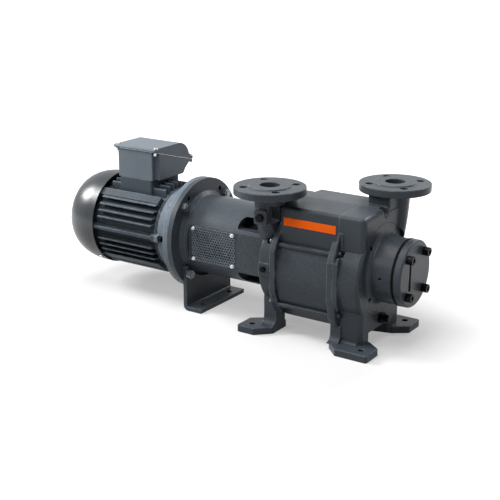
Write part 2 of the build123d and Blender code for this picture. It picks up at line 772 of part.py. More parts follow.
def motor_frame():
    """The stator frame with its cooling fins and the seat of the terminal box."""
    axis = Pos(0, shaft_height)
    frame = x_cylinder(frame_core_r, frame_x0, frame_x1)
    frame += across(axis * fin_section(), fin_x0, fin_x1)
    frame += across(axis * pad_section(), frame_x0, fin_x1)
    frame += across(axis * main_fin_section(), frame_x0, main_fin_x1)
    frame += x_cylinder(frame_core_r + 6, frame_x1 - 8, frame_x1)
    for side in (-1, 1):
        frame += ear(side, frame_x1 - ear_boss_length, frame_x1)
        frame -= x_cylinder(4.05, frame_x1 - 20, frame_x1 + 1, side * ear_y)
    margin = terminal_seat_margin
    seat = block(terminal_x0 + margin, terminal_x1 - margin, terminal_front_y, terminal_foot_y,
                 shaft_height + 80, terminal_base_z)
    frame += fillet(seat.edges().filter_by(Axis.Z), 5)
    frame -= x_cylinder(frame_bore_r, frame_x0 - 1, frame_x1 + 1)
    for y, z in cowl_screw_places():
        frame -= radial_bar(y, z, 3.05, 30, cowl_screw_x)
    return frame


def ear(side, x0, x1):
    """An ear at the side of the frame or of a shield, for a long screw."""
    y_pair = sorted((side * (frame_core_r - 2), side * fin_tip_r))
    piece = block(x0, x1, *y_pair, shaft_height - ear_half_height, shaft_height + ear_half_height)
    outer = piece.edges().filter_by(Axis.X).filter_by_position(
        Axis.Y, side * fin_tip_r - 0.1, side * fin_tip_r + 0.1)
    return fillet(outer, 3)


def shield_screws():
    """The screws through the shield's ears into the frame."""
    seat = frame_x1 + ear_length
    return group([socket_screw_x(4, seat, 24, side * ear_y, shaft_height, 8) for side in (-1, 1)])


def drive_shield():
    """The motor's end shield with its mounting flange and bearing seat."""
    x1 = motor_face_x
    x0 = frame_x1
    seat = bearing_outer_r + 0.02
    bearing_x1 = x1 - motor_bearing_inset
    shield = turned([
        (x0, frame_core_r + 6),
        (x0 + 6, shield_r),
        (x1 - shield_flange - 5, shield_r),
        (x1 - shield_flange - 1.5, shield_r + 1.5),
        (x1 - shield_flange, shield_r + 5),
        (x1 - shield_flange, lantern_flange_r - 1),
        (x1 - shield_flange + 1, lantern_flange_r),
        (x1 - 0.8, lantern_flange_r),
        (x1, lantern_flange_r - 0.8),
        (x1, spigot_r),
        (x1 + spigot_depth, spigot_r),
        (x1 + spigot_depth, 62),
        (x1 - 8, 50),
        (x1 - 8, bearing_bore_r + 3),
        (bearing_x1, bearing_bore_r + 3),
        (bearing_x1, seat),
        (bearing_x1 - bearing_width, seat),
        (bearing_x1 - bearing_width, 52),
        (x1 - 14, 60),
        (x1 - 16, 78),
        (x0, 82),
    ])
    for side in (-1, 1):
        shield += ear(side, x0, x0 + ear_length)
        shield -= x_cylinder(4.4, x0 - 1, x0 + ear_length + 1, side * ear_y)
        shield -= x_cylinder(6.8, x0 + ear_length, x0 + ear_length + 16, side * ear_y)
    for y, z in around_x(flange_pcd / 2, 4):
        shield -= x_cylinder(flange_hole_r, x1 - shield_flange - 1, x1 + 1, y, z)
        shield -= x_cylinder(12, x1 - shield_flange - 22, x1 - shield_flange, y, z)
    return shield


def rear_shield():
    """The motor's rear end shield with its bearing seat."""
    x1 = frame_x0
    x0 = x1 - rear_shield_length
    seat = bearing_outer_r + 0.02
    return turned([
        (x0, bearing_bore_r + 3),
        (x0, 58),
        (x0 + 6, 96),
        (x1, 96),
        (x1, frame_bore_r - 0.1),
        (x1 + 5, frame_bore_r - 0.1),
        (x1 + 5, 62),
        (x1 + 14, 50),
        (x1 + 14, seat),
        (x0 + 5, seat),
        (x0 + 5, bearing_bore_r + 3),
    ])


def cowl_body(radius, end_x0, end_r):
    """The solid inside a cowl surface: a short cylinder that runs out in a dome."""
    x1 = cowl_x1
    x_dome = x1 - cowl_straight
    plane = Plane((0, 0, shaft_height), x_dir=(1, 0, 0), z_dir=(0, -1, 0))
    dome = EllipticalCenterArc((x_dome, end_r), x_dome - end_x0, radius - end_r, start_angle=90, arc_size=90)
    outline = [
        Line((end_x0, 0), (x1, 0)),
        Line((x1, 0), (x1, radius)),
        Line((x1, radius), (x_dome, radius)),
        dome,
        Line((end_x0, end_r), (end_x0, 0)),
    ]
    return revolve(plane * make_face(outline), Axis((0, 0, shaft_height), (1, 0, 0)), 360)


def fan_cowl():
    """The sheet cowl over the fan, with a ring grille at its end."""
    x0 = cowl_x1 - cowl_length
    cowl = cowl_body(cowl_r, x0, cowl_end_r)
    cowl -= cowl_body(cowl_r - cowl_wall, x0 + cowl_wall, cowl_end_r)
    for ring in range(3):
        inner = 18 + 21 * ring
        sector = Circle(inner + 13) - Circle(inner)
        bars = fused([Rot(0, 0, 30 * i) * Rectangle(4, 200) for i in range(6)])
        slots = Pos(0, shaft_height) * (sector - bars)
        cowl -= across(slots, x0 - 1, x0 + 10)
    for y, z in cowl_screw_places():
        cowl -= radial_bar(y, z, 3.2, 20, cowl_screw_x)
    return cowl


def cowl_screw_places():
    """The places (y, z) of the cowl's screws, each over a pad of the frame."""
    places = []
    for angle in (pad_angle, -pad_angle, pad_angle - 180):
        places.append((cowl_r * cos(radians(angle)), shaft_height + cowl_r * sin(radians(angle))))
    return places


def radial_bar(y, z, radius, length, x):
    """A bar that points at the shaft axis, centred on the place (x, y, z)."""
    reach = sqrt(y * y + (z - shaft_height) ** 2)
    unit = (0, y / reach, (z - shaft_height) / reach)
    plane = Plane((x, y, z), x_dir=(1, 0, 0), z_dir=unit)
    return plane * Cylinder(radius, length, align=centre)


def cowl_screws():
    """The screws round the cowl's rim."""
    screws = []
    for y, z in cowl_screw_places():
        unit = (y / cowl_r, (z - shaft_height) / cowl_r)
        head = radial_bar(y + 1.3 * unit[0], z + 1.3 * unit[1], 5, 2.4, cowl_screw_x)
        shank = radial_bar(y - 4 * unit[0], z - 4 * unit[1], 3, 9, cowl_screw_x)
        screws.append(head + shank)
    return group(screws)


def cooling_fan():
    """The fan on the motor's rear shaft end."""
    x0 = frame_x0 - rear_shield_length - 38
    x1 = x0 + 30
    hub = x_tube(fan_hub_r, bearing_bore_r - 3 + 0.02, x0, x1)
    disc = x_tube(fan_r - 24, fan_hub_r - 1, x1 - 4, x1)
    fan = hub + disc
    for i in range(fan_blade_count):
        blade = block(x0, x1, fan_hub_r - 2, fan_r, -1.5, 1.5)
        fan += Pos(0, 0, shaft_height) * Rot(360 * i / fan_blade_count, 0, 0) * blade
    return fan


def terminal_box():
    """The lower half of the terminal box, split from its lid along a slant."""
    x0 = terminal_x0
    x1 = terminal_x1
    wall = terminal_wall
    body = across(terminal_section(0), x0, x1)
    for x_pair in ((x0 - 20, x0 + terminal_corner_x), (x1 - terminal_corner_x, x1 + 20)):
        pocket = block(*x_pair, terminal_front_y - 20, terminal_front_y + terminal_corner_y, 200, 400)
        body -= fillet(pocket.edges().filter_by(Axis.Z), 3)
    body = fillet(body.edges().filter_by(Axis.Z).filter_by_position(
        Axis.Y, terminal_front_y - 0.1, terminal_front_y + 0.1), 2)
    inner_x = terminal_corner_x + wall
    body -= across(terminal_section(wall), x0 + inner_x, x1 - inner_x)
    for x, y, z in lid_screw_places():
        if y > 0:
            body += slanted(x, y - 6, z + 6 * slant(), -4) * Box(9, 22, 7.4, align=centre)
            body -= slanted(x, y, z) * Cylinder(lid_screw_r + 0.05, 60, align=centre)
    return body


def slant():
    """The joint's slope: how far z falls for each millimetre of y."""
    return (terminal_front_z - terminal_rear_z) / (terminal_rear_y - terminal_front_y)


def slanted(x, y, z, along=0.0):
    """A place on the slanting joint, turned square to it and moved along its normal."""
    tilt = degrees(asin(slant() / sqrt(1 + slant() ** 2)))
    return Pos(x, y, z) * Rot(-tilt, 0, 0) * Pos(0, 0, along)


def terminal_section(inset):
    """The box's side view in (y, z), drawn in by a wall; the inset one is open on top."""
    lift = 3 * inset
    return make_face(Polyline(
        (terminal_front_y + inset, terminal_base_z + inset),
        (terminal_front_y + inset, terminal_front_z + lift),
        (terminal_rear_y - inset, terminal_rear_z + lift),
        (terminal_rear_y - inset, terminal_rear_z - 7),
        (terminal_rear_y - inset - 15, terminal_rear_z - 19),
        (terminal_foot_y + 4 - inset, terminal_base_z + 4 + inset),
        (terminal_foot_y - inset, terminal_base_z + inset),
        close=True))


def lid_section(inset):
    """The lid's side view in (y, z)."""
    front = terminal_front_y - 3 + inset
    top = terminal_top_z - inset
    rear = terminal_rear_y - inset
    edge_front = terminal_front_z + 3 * slant() + joint_gap
    edge_rear = terminal_rear_z + joint_gap + inset * slant()
    outline = [
        Line((front, edge_front - inset * slant()), (front, top - 3)),
        Line((front, top - 3), (front + 3, top)),
        Line((front + 3, top), (40, top)),
        ThreePointArc((40, top), (rear - 10, top - 12), (rear, top - 31)),
        Line((rear, top - 31), (rear, edge_rear)),
        Line((rear, edge_rear), (front, edge_front - inset * slant())),
    ]
    return make_face(outline)


def lid_screw_places():
    """The places of the lid's screws, on the slanting joint."""
    places = []
    for x in (terminal_x0 + 4.5, terminal_x1 - 4.5):
        for y in (terminal_front_y + 6, terminal_rear_y + 8):
            z = terminal_front_z - (y - terminal_front_y) * slant()
            places.append((x, y, z))
    return places


def terminal_lid():
    """The deep lid of the terminal box with its four screw ears."""
    wall = terminal_wall
    lid = across(lid_section(0), terminal_x0, terminal_x1)
    hollow = across(lid_section(wall), terminal_x0 + wall + 6, terminal_x1 - wall - 6)
    lid -= hollow
    lid -= Pos(0, 0, -2 * wall) * hollow
    for x, y, z in lid_screw_places():
        if y > 0:
            ear_box = slanted(x, y - 6, z + 6 * slant(), 4) * Box(9, 22, 7.4, align=centre)
            lid += ear_box
        else:
            lid += slanted(x, y, z, 2) * Cylinder(4.9, 9, align=centre) & block(
                terminal_x0, terminal_x1, terminal_front_y - 3, 0, z, terminal_top_z)
        lid -= slanted(x, y, z, 14.3) * Cylinder(5.2, 13, align=centre)
        lid -= slanted(x, y, z) * Cylinder(lid_screw_r + 0.2, 60, align=centre)
    return lid


def lid_screws():
    """The screws of the terminal box's lid."""
    screws = []
    for x, y, z in lid_screw_places():
        head = slanted(x, y, z, 9.6) * Cylinder(4.8, 3.6, align=centre)
        screws.append(head + slanted(x, y, z, 0.5) * Cylinder(lid_screw_r, 15, align=centre))
    return group(screws)


# Rotating parts


def bearing_outer(x):
    """A ball bearing's outer ring with its race."""
    mean_r = (bearing_bore_r + bearing_outer_r) / 2
    ring = x_tube(bearing_outer_r, mean_r + 0.55 * ball_r, x, x + bearing_width)
    return ring - race(x, mean_r)


def bearing_inner(x):
    """A ball bearing's inner ring with its race."""
    mean_r = (bearing_bore_r + bearing_outer_r) / 2
    ring = x_tube(mean_r - 0.55 * ball_r, bearing_bore_r + 0.01, x, x + bearing_width)
    return ring - race(x, mean_r)


def race(x, mean_r):
    """The groove that the balls run in."""
    return Pos(x + bearing_width / 2, 0, shaft_height) * Rot(0, 90, 0) * Torus(mean_r, ball_r + running_gap)


def ball_set(x):
    """The balls of a bearing, held in their cage."""
    mean_r = (bearing_bore_r + bearing_outer_r) / 2
    mid_x = x + bearing_width / 2
    cage = x_tube(mean_r + 1.2, mean_r - 1.2, mid_x - ball_r - 1, mid_x + ball_r + 1)
    for y, z in around_x(mean_r, ball_count):
        cage += Pos(mid_x, y, z) * Sphere(ball_r)
    return cage


def pump_shaft():
    """The pump's shaft with its bearing seats, impeller seat and coupling end."""
    seat = bearing_bore_r
    return turned([
        (pump_shaft_x0, 0),
        (pump_shaft_x0, shaft_end_r - 1),
        (pump_shaft_x0 + 1, shaft_end_r),
        (drive_bearing_x - 14, shaft_end_r),
        (drive_bearing_x - 14, seat),
        (drive_bearing_x + bearing_width, seat),
        (drive_bearing_x + bearing_width, pump_shaft_r),
        (end_bearing_x, pump_shaft_r),
        (end_bearing_x, seat),
        (end_bearing_x + bearing_width + 9, seat),
        (end_bearing_x + bearing_width + 9, 0),
    ])


def impeller():
    """The impeller: curved blades on a hub, with a stiffening disc in the middle."""
    x0 = ring_x0 + port_plate + side_gap
    x1 = ring_x1 - port_plate - side_gap
    body = x_tube(impeller_hub_r, pump_shaft_r + 0.01, x0, x1)
    mid = (x0 + x1) / 2
    body += x_tube(impeller_r - 12, impeller_hub_r - 1, mid - 2, mid + 2)
    root = impeller_hub_r - 1
    bend = radians(blade_lean * 0.32)
    tip = radians(blade_lean)
    middle_r = (root + impeller_r) / 2
    line = ThreePointArc(
        (root, 0),
        (middle_r * cos(bend), middle_r * sin(bend)),
        ((impeller_r + 3) * cos(tip), (impeller_r + 3) * sin(tip)))
    blade = trace(line, blade_thickness) & Circle(impeller_r)
    blades = fused([Rot(0, 0, 360 * i / blade_count) * blade for i in range(blade_count)])
    return body + across(Pos(0, shaft_height) * blades, x0, x1)


def port_plate_disc(x0, suction):
    """The plate that closes a side of the chamber, with its crescent ports."""
    plate = x_cylinder(chamber_r - 0.05, x0, x0 + port_plate, z=casing_z)
    plate -= x_cylinder(pump_shaft_r + 0.6, x0 - 1, x0 + port_plate + 1)
    spans = (20, 130) if suction else (-60, -5)
    start, end = spans
    wedge = make_face(Polyline(
        (0, 0),
        (200 * cos(radians(start)), 200 * sin(radians(start))),
        (200 * cos(radians((start + end) / 2)), 200 * sin(radians((start + end) / 2))),
        (200 * cos(radians(end)), 200 * sin(radians(end))),
        close=True))
    crescent = (Circle(56) - Circle(38)) & wedge
    return plate - across(Pos(0, shaft_height) * crescent, x0 - 1, x0 + port_plate + 1)


def coupling_hub(x0, direction, bore_r):
    """A jaw hub. direction is 1 where the jaws point to +X."""
    x1 = x0 + coupling_hub_length
    hub = x_tube(coupling_r, bore_r + 0.01, x0, x1)
    jaw_x = (x1 - 2, x1 + spider_width - 1.5) if direction > 0 else (x0 - spider_width + 1.5, x0 + 2)
    ring = Circle(coupling_r) - Circle(spider_bore_r + 3)
    for i in range(4):
        hub += across(Pos(0, shaft_height) * (ring & jaw_sector(90 * i, jaw_angle)), *jaw_x)
    return hub


def turned_by(angle, piece):
    """A piece turned about the shaft axis."""
    return Pos(0, 0, shaft_height) * Rot(angle, 0, 0) * Pos(0, 0, -shaft_height) * piece


def jaw_sector(angle, width):
    """A pie piece centred on an angle."""
    a0 = radians(angle - width / 2)
    a1 = radians(angle + width / 2)
    return make_face(Polyline((0, 0), (90 * cos(a0), 90 * sin(a0)), (90 * cos(a1), 90 * sin(a1)), close=True))


def coupling_spider(x0):
    """The rubber star between the jaws."""
    lobe = 45 - jaw_angle - 1.2
    star = Circle(spider_bore_r + 2.6) - Circle(spider_bore_r)
    for i in range(8):
        star += (Circle(coupling_r - 1) - Circle(spider_bore_r + 2)) & jaw_sector(22.5 + 45 * i, lobe)
    return across(Pos(0, shaft_height) * star, x0 + 0.8, x0 + spider_width - 0.8)


def motor_shaft():
    """The motor's shaft from the fan to the coupling."""
    seat = bearing_bore_r
    rear_seat = frame_x0 - rear_shield_length + 5
    front_seat = motor_face_x - motor_bearing_inset - bearing_width - 4
    return turned([
        (rear_seat - 40, 0),
        (rear_seat - 40, seat - 3),
        (rear_seat, seat - 3),
        (rear_seat, seat),
        (rear_seat + bearing_width, seat),
        (rear_seat + bearing_width, seat + 4),
        (front_seat + 4, seat + 4),
        (front_seat + 4, seat),
        (motor_face_x + 0.5, seat),
        (motor_face_x + 0.5, shaft_end_r),
        (motor_shaft_end_x, shaft_end_r),
        (motor_shaft_end_x, 0),
    ])


# Housings of the pump's bearings and seals


def bearing_housing():
    """The bearing housing at the free end."""
    x0 = end_x - housing_flange
    seat = bearing_outer_r + 0.02
    root = housing_root_r
    rounding = [(end_x + root * (1 - cos(a)), housing_r + root * (1 - sin(a)))
                for a in (0.0, pi / 8, pi / 4, 3 * pi / 8, pi / 2)]
    body = turned([
        (x0, 62),
        (x0, housing_flange_r),
        (end_x, housing_flange_r),
        *rounding,
        (housing_x1, housing_r),
        (housing_x1, seat),
        (end_bearing_x, seat),
        (end_bearing_x, pump_shaft_r + 4),
        (end_bearing_x - 8, pump_shaft_r + 4),
        (end_bearing_x - 14, 58),
        (x0 - 4, 58),
        (x0 - 4, 59.9),
        (x0, 59.9),
    ])
    for y, z in around_x(housing_screw_pcd / 2, 4):
        body -= x_cylinder(3.3, x0 - 1, end_x, y, z)
        body -= x_cylinder(5.2, end_x - 8.2, end_x + 12, y, z)
    for y, z in cap_screw_places():
        body -= x_cylinder(cap_screw_r + 0.05, housing_x1 - 16, housing_x1 + 1, y, z)
    return body - Pos(150, -housing_r - 1, shaft_height) * Rot(-90, 0, 0) * Cylinder(3, 8, align=upright)


def cap_screw_places():
    """The places (y, z) of the cap's screws."""
    return [(sy * cap_screw_y, shaft_height + sz * cap_screw_dz) for sy in (-1, 1) for sz in (-1, 1)]


def bearing_cap():
    """The cover over the free-end bearing, with a shallow groove across its face."""
    x0 = housing_x1 + cap_gap
    cap = x_cylinder(cap_r, x0, cap_x1)
    cap = fillet(cap.edges().filter_by(GeomType.CIRCLE).sort_by(Axis.X)[-1], cap_bevel)
    cap -= x_cylinder(30, x0 - 1, cap_x1 - cap_recess_wall)
    half = cap_groove_width / 2
    cap -= block(cap_x1 - cap_groove_depth, cap_x1 + 1, cap_groove_y - half, cap_groove_y + half,
                 shaft_height - cap_groove_half_height, shaft_height + cap_groove_half_height)
    for y, z in cap_screw_places():
        cap -= x_cylinder(cap_screw_r + 0.3, x0 - 1, cap_x1 + 1, y, z)
    return cap


def cap_gasket():
    """The gasket under the bearing cap."""
    gasket = x_tube(cap_r - 3, bearing_outer_r + 1, housing_x1, housing_x1 + cap_gap)
    for y, z in cap_screw_places():
        gasket -= x_cylinder(cap_screw_r + 0.3, housing_x1 - 1, housing_x1 + cap_gap + 1, y, z)
    return gasket


def cap_screws():
    """The socket head screws of the bearing cap."""
    return group([socket_screw_x(cap_screw_r, cap_x1, 32, y, z, cap_screw_head) for y, z in cap_screw_places()])


def housing_screws():
    """The socket head screws sunk in the bearing housing's flange."""
    return group([socket_screw_x(3, end_x - 8.2, 14, y, z, 8) for y, z in around_x(housing_screw_pcd / 2, 4)])


def drive_bearing_housing():
    """The bearing and seal housing inside the lantern."""
    x1 = drive_x0
    seat = bearing_outer_r + 0.02
    body = turned([
        (x1, 30),
        (x1 + 10, 30),
        (x1 + 10, 47.9),
        (x1, 47.9),
        (x1, 59.5),
        (x1 - 10, 59.5),
        (x1 - 10, drive_housing_r),
        (drive_housing_x0, drive_housing_r),
        (drive_housing_x0, seat),
        (drive_bearing_x + bearing_width, seat),
        (drive_bearing_x + bearing_width, pump_shaft_r + 4),
        (drive_bearing_x + bearing_width + 8, pump_shaft_r + 4),
        (drive_bearing_x + bearing_width + 8, 42),
        (x1 - 8, 42),
        (x1 - 8, 30),
    ])
    return body


def drive_bearing_cover():
    """The ring that holds the drive-side bearing in its housing."""
    x1 = drive_housing_x0
    return turned([
        (x1 - 7, shaft_end_r + 5),
        (x1 - 7, drive_housing_r),
        (x1, drive_housing_r),
        (x1, bearing_outer_r),
        (drive_bearing_x, bearing_outer_r),
        (drive_bearing_x, bearing_outer_r - 6),
        (x1, bearing_outer_r - 6),
        (x1, shaft_end_r + 5),
    ])


def seal_ring_fixed(x0):
    """A seal's fixed ring."""
    return x_tube(29.9, pump_shaft_r + 1.5, x0, x0 + 8)


def seal_ring_turning(x0):
    """A seal's turning head on the shaft."""
    return turned([
        (x0, pump_shaft_r + 0.01),
        (x0, 27),
        (x0 + 6, 27),
        (x0 + 6, 29),
        (x0 + 24, 29),
        (x0 + 24, pump_shaft_r + 0.01),
    ])


def casing_bolts():
    """The bolts that hold the casings' flanges together."""
    bolts = []
    for y, z in casing_bolt_places():
        bolts.append(hex_bolt_x(casing_bolt_r, ring_x1 + casing_bolt_lug, ring_flange + casing_bolt_lug, y, z, 1))
        bolts.append(hex_bolt_x(casing_bolt_r, ring_x0 - casing_bolt_lug, ring_flange + casing_bolt_lug, y, z, -1))
    return group(bolts)


def gauge_plug():
    """The plug in the square boss on the front neck."""
    plug = Cylinder(gauge_plug_r, 12, align=(Align.CENTER, Align.CENTER, Align.MAX))
    plug += extrude(RegularPolygon(gauge_plug_flats / 2, 6, major_radius=False), 6)
    return Pos(port_x_drive, -gauge_boss_y, gauge_boss_z) * Rot(90, 0, 0) * plug


def side_plug():
    """The small plug in the flat boss at the side of the drive casing."""
    plug = Cylinder(side_plug_r, 10, align=(Align.CENTER, Align.CENTER, Align.MAX))
    plug += extrude(RegularPolygon(side_plug_flats / 2, 6, major_radius=False), 5)
    return Pos(side_boss_x, -side_boss_y, casing_z) * Rot(90, 0, 0) * plug


def drain_plug():
    """The drain plug: a hexagon with a round nose."""
    plug = x_cylinder(drain_plug_r, end_x - 11, end_x, drain_y, drain_z)
    plug += hexagon_x(20, end_x, end_x + 12, drain_y, drain_z)
    nose = x_cylinder(8.5, end_x + 11, end_x + 22, drain_y, drain_z)
    return plug + fillet(nose.edges().filter_by(GeomType.CIRCLE).sort_by(Axis.X)[-1], 3)


def label_plate():
    """The bare label on the front of the gas box."""
    return block(-63, 58, -box_half_width - 0.8, -box_half_width, 240, 257)


def parts():
    """Every node by name."""
    front_bearing = motor_face_x - motor_bearing_inset - bearing_width
    rear_bearing = frame_x0 - rear_shield_length + 5
    stator_x0 = stator_centre_x - stator_length / 2
    stator_x1 = stator_centre_x + stator_length / 2
    nodes = {
        "ring_casing": ring_casing(),
        "drive_side_casing": drive_side_casing(),
        "non_drive_casing": non_drive_casing(),
        "drive_port_plate": port_plate_disc(ring_x0, True),
        "non_drive_port_plate": port_plate_disc(ring_x1 - port_plate, False),
        "casing_bolts": casing_bolts(),
        "lantern": lantern(),
        "lantern_screws": lantern_screws(),
        "lantern_foot": lantern_foot(),
        "mesh_guard_front": mesh_guard(-1),
        "mesh_guard_rear": mesh_guard(1),
        "guard_screws": guard_screws(),
        "flange_bolts": flange_bolts(),
        "flange_nuts": flange_nuts(),
        "motor_frame": motor_frame(),
        "motor_drive_shield": drive_shield(),
        "motor_rear_shield": rear_shield(),
        "shield_screws": shield_screws(),
        "fan_cowl": fan_cowl(),
        "cowl_screws": cowl_screws(),
        "terminal_box": terminal_box(),
        "terminal_lid": terminal_lid(),
        "lid_screws": lid_screws(),
        "bearing_housing": bearing_housing(),
        "housing_screws": housing_screws(),
        "bearing_cap": bearing_cap(),
        "cap_gasket": cap_gasket(),
        "cap_screws": cap_screws(),
        "drive_bearing_housing": drive_bearing_housing(),
        "drive_bearing_cover": drive_bearing_cover(),
        "drive_seal_fixed_ring": seal_ring_fixed(drive_x0 - 8),
        "drive_seal_head": seal_ring_turning(drive_x0 - 32.1),
        "gauge_plug": gauge_plug(),
        "side_plug": side_plug(),
        "drain_plug": drain_plug(),
        "label_plate": label_plate(),
        "stator_core": x_tube(frame_bore_r - 0.02, stator_bore_r, stator_x0, stator_x1),
        "stator_winding": group([
            x_tube(69, 52, stator_x0 - 26, stator_x0),
            x_tube(69, 52, stator_x1, stator_x1 + 26)]),
        "rotor_core": x_tube(rotor_r, bearing_bore_r + 4.01, stator_x0, stator_x1),
        "motor_shaft": motor_shaft(),
        "cooling_fan": cooling_fan(),
        "motor_coupling_hub": coupling_hub(motor_shaft_end_x - coupling_hub_length, 1, shaft_end_r),
        "pump_coupling_hub": turned_by(45, coupling_hub(pump_shaft_x0, -1, shaft_end_r)),
        "coupling_spider": coupling_spider(motor_shaft_end_x),
        "pump_shaft": pump_shaft(),
        "impeller": impeller(),
        "shaft_locknut": x_tube(26, bearing_bore_r + 0.01, end_bearing_x + bearing_width,
                                end_bearing_x + bearing_width + 8),
    }
    bearings = {
        "drive_bearing": drive_bearing_x,
        "end_bearing": end_bearing_x,
        "motor_front_bearing": front_bearing,
        "motor_rear_bearing": rear_bearing,
    }
    for name, x in bearings.items():
        nodes[name + "_outer_ring"] = bearing_outer(x)
        nodes[name + "_inner_ring"] = bearing_inner(x)
        nodes[name + "_balls"] = ball_set(x)
    return nodes


os.makedirs("parts", exist_ok=True)
for node_name, shape in parts().items():
    export_step(shape, "parts/" + node_name + ".step")
    print(node_name, len(shape.solids()))
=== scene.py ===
# %% [markdown]
# # A liquid ring vacuum pump on a white table
# The whole machine is about 0.86 m long: a ribbed electric motor on the left, a cast
# lantern with mesh guards in the middle, and the pump with its two upright pipe flanges
# on the right. The solids come from the CAD model as a fixed frame. This lesson gives
# them their finishes, puts real perforated sheet in the place of the plain guards, adds
# the small cast shoulders and bars of the pump and the seal behind its end cover, and
# sets up the camera and a small photo studio.

# %% Load the frame and remember its size
import json
import math

import bpy
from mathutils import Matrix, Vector


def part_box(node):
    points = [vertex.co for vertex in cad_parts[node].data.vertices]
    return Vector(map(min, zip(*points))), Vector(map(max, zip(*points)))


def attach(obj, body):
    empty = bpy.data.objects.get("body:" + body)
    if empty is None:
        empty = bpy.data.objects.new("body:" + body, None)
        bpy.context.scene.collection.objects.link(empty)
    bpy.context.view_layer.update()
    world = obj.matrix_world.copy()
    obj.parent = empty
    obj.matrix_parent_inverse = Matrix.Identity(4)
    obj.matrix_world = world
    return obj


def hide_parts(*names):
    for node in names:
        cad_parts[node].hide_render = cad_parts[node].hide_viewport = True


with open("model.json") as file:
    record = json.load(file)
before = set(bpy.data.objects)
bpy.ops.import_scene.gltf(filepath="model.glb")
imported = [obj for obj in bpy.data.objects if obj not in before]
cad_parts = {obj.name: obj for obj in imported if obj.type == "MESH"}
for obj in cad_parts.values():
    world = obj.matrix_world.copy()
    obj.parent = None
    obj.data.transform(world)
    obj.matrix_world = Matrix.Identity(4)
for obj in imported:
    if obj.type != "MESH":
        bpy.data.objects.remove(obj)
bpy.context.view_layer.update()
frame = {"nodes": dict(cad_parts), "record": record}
for loaded in bpy.context.selected_objects:
    loaded.select_set(False)

# %% [markdown]
# ## Camera
# The picture is square. Its camera stands to the front right of the pump, a little above
# the flanges, with a long lens: the further motor is only slightly smaller than the pump.
# The lens is found from the focal length in pixels: 36 mm of sensor over 500 pixels. A
# camera looks along its own -Z, and so does a lamp, so one helper aims both.

# %% Place the camera
CAMERA_PLACE = (1.0265, -1.8248, 0.8385)
CAMERA_TARGET = (-0.20293, 0.0, 0.13974)
SENSOR_MM = 36.0
FOCAL_PIXELS = 1048.68
IMAGE_PIXELS = 500
VIEW_END = 50.0


def aim(thing, target):
    """Turns a camera or a lamp towards a point."""
    way = Vector(target) - thing.location
    thing.rotation_euler = way.to_track_quat("-Z", "Y").to_euler()


bpy.ops.object.camera_add(location=CAMERA_PLACE)
camera = bpy.context.object
camera.name = "studio_camera"
camera.data.sensor_width = SENSOR_MM
camera.data.lens = FOCAL_PIXELS / IMAGE_PIXELS * SENSOR_MM
camera.data.clip_end = VIEW_END
aim(camera, CAMERA_TARGET)
bpy.context.scene.camera = camera
print("lens:", round(camera.data.lens, 2), "mm")

# %% [markdown]
# ## Nodes
# Every finish below is a small tree of shader nodes. A few helpers keep those trees
# readable: `add` makes a node and sets its inputs by name, `combined` reckons with two
# values, and `object_place` tells where on the object a point lies. Object coordinates
# are in metres, so a noise scale of 500 has features about 2 mm wide on every piece.

# %% Helpers for nodes
def new_material(name):
    """An empty node material, with its tree and its Principled shader."""
    material = bpy.data.materials.new(name)
    material.use_nodes = True
    tree = material.node_tree
    return material, tree, tree.nodes["Principled BSDF"]


def add(tree, kind, **inputs):
    """A node of this kind, with input sockets set by name."""
    node = tree.nodes.new(kind)
    for name, value in inputs.items():
        node.inputs[name.replace("_", " ")].default_value = value
    return node


def object_place(tree):
    """The socket that gives a point's place on the object, in metres."""
    return add(tree, "ShaderNodeTexCoord").outputs["Object"]


def combined(tree, operation, first, second):
    """Two values reckoned together: MULTIPLY for their product, MAXIMUM for the larger."""
    node = tree.nodes.new("ShaderNodeMath")
    node.operation = operation
    tree.links.new(first, node.inputs[0])
    tree.links.new(second, node.inputs[1])
    return node.outputs[0]


print("helpers for nodes ready")

# %% [markdown]
# ## Patterns
# All wear and unevenness here starts from noise. Its values crowd round 0.5 and seldom
# reach 0 or 1, so a pattern is first stretched: `spread` carries the range where most of
# its values lie to the range that the finish needs, and `around` does so round a middle.

# %% Helpers for patterns
NOISE_ROUGHNESS = 0.55
NOISE_LOW = 0.3
NOISE_HIGH = 0.7


def noise(tree, place, scale, detail=3.0):
    """A noise pattern's value, 0 to 1, with this many features to the metre."""
    node = add(tree, "ShaderNodeTexNoise", Scale=scale, Detail=detail,
               Roughness=NOISE_ROUGHNESS)
    tree.links.new(place, node.inputs["Vector"])
    return node.outputs["Fac"]


def mapped(tree, value, low, high, to_low, to_high):
    """A value carried from one range to another, held inside it."""
    node = tree.nodes.new("ShaderNodeMapRange")
    for socket, number in zip(node.inputs[1:5], (low, high, to_low, to_high)):
        socket.default_value = number
    tree.links.new(value, node.inputs[0])
    return node.outputs[0]


def spread(tree, pattern, to_low, to_high):
    """A noise pattern stretched to a range."""
    return mapped(tree, pattern, NOISE_LOW, NOISE_HIGH, to_low, to_high)


def around(tree, pattern, middle, span):
    """A noise pattern stretched to a span round a middle value."""
    return spread(tree, pattern, middle + span[0], middle + span[1])


print("noise is spread from", NOISE_LOW, "to", NOISE_HIGH)

# %% [markdown]
# ## Colour, bumps and the shader
# A finish takes three things from its patterns: a colour, a roughness, and a normal that
# carries the bumps. What is the same all over the piece is a plain number on the shader's
# own socket, which other programs can read as well.

# %% Helpers for colour, bumps and the shader
def shade(colour, factor):
    """A colour made lighter or darker, as four numbers."""
    return tuple(min(1.0, part * factor) for part in colour[:3]) + (1.0,)


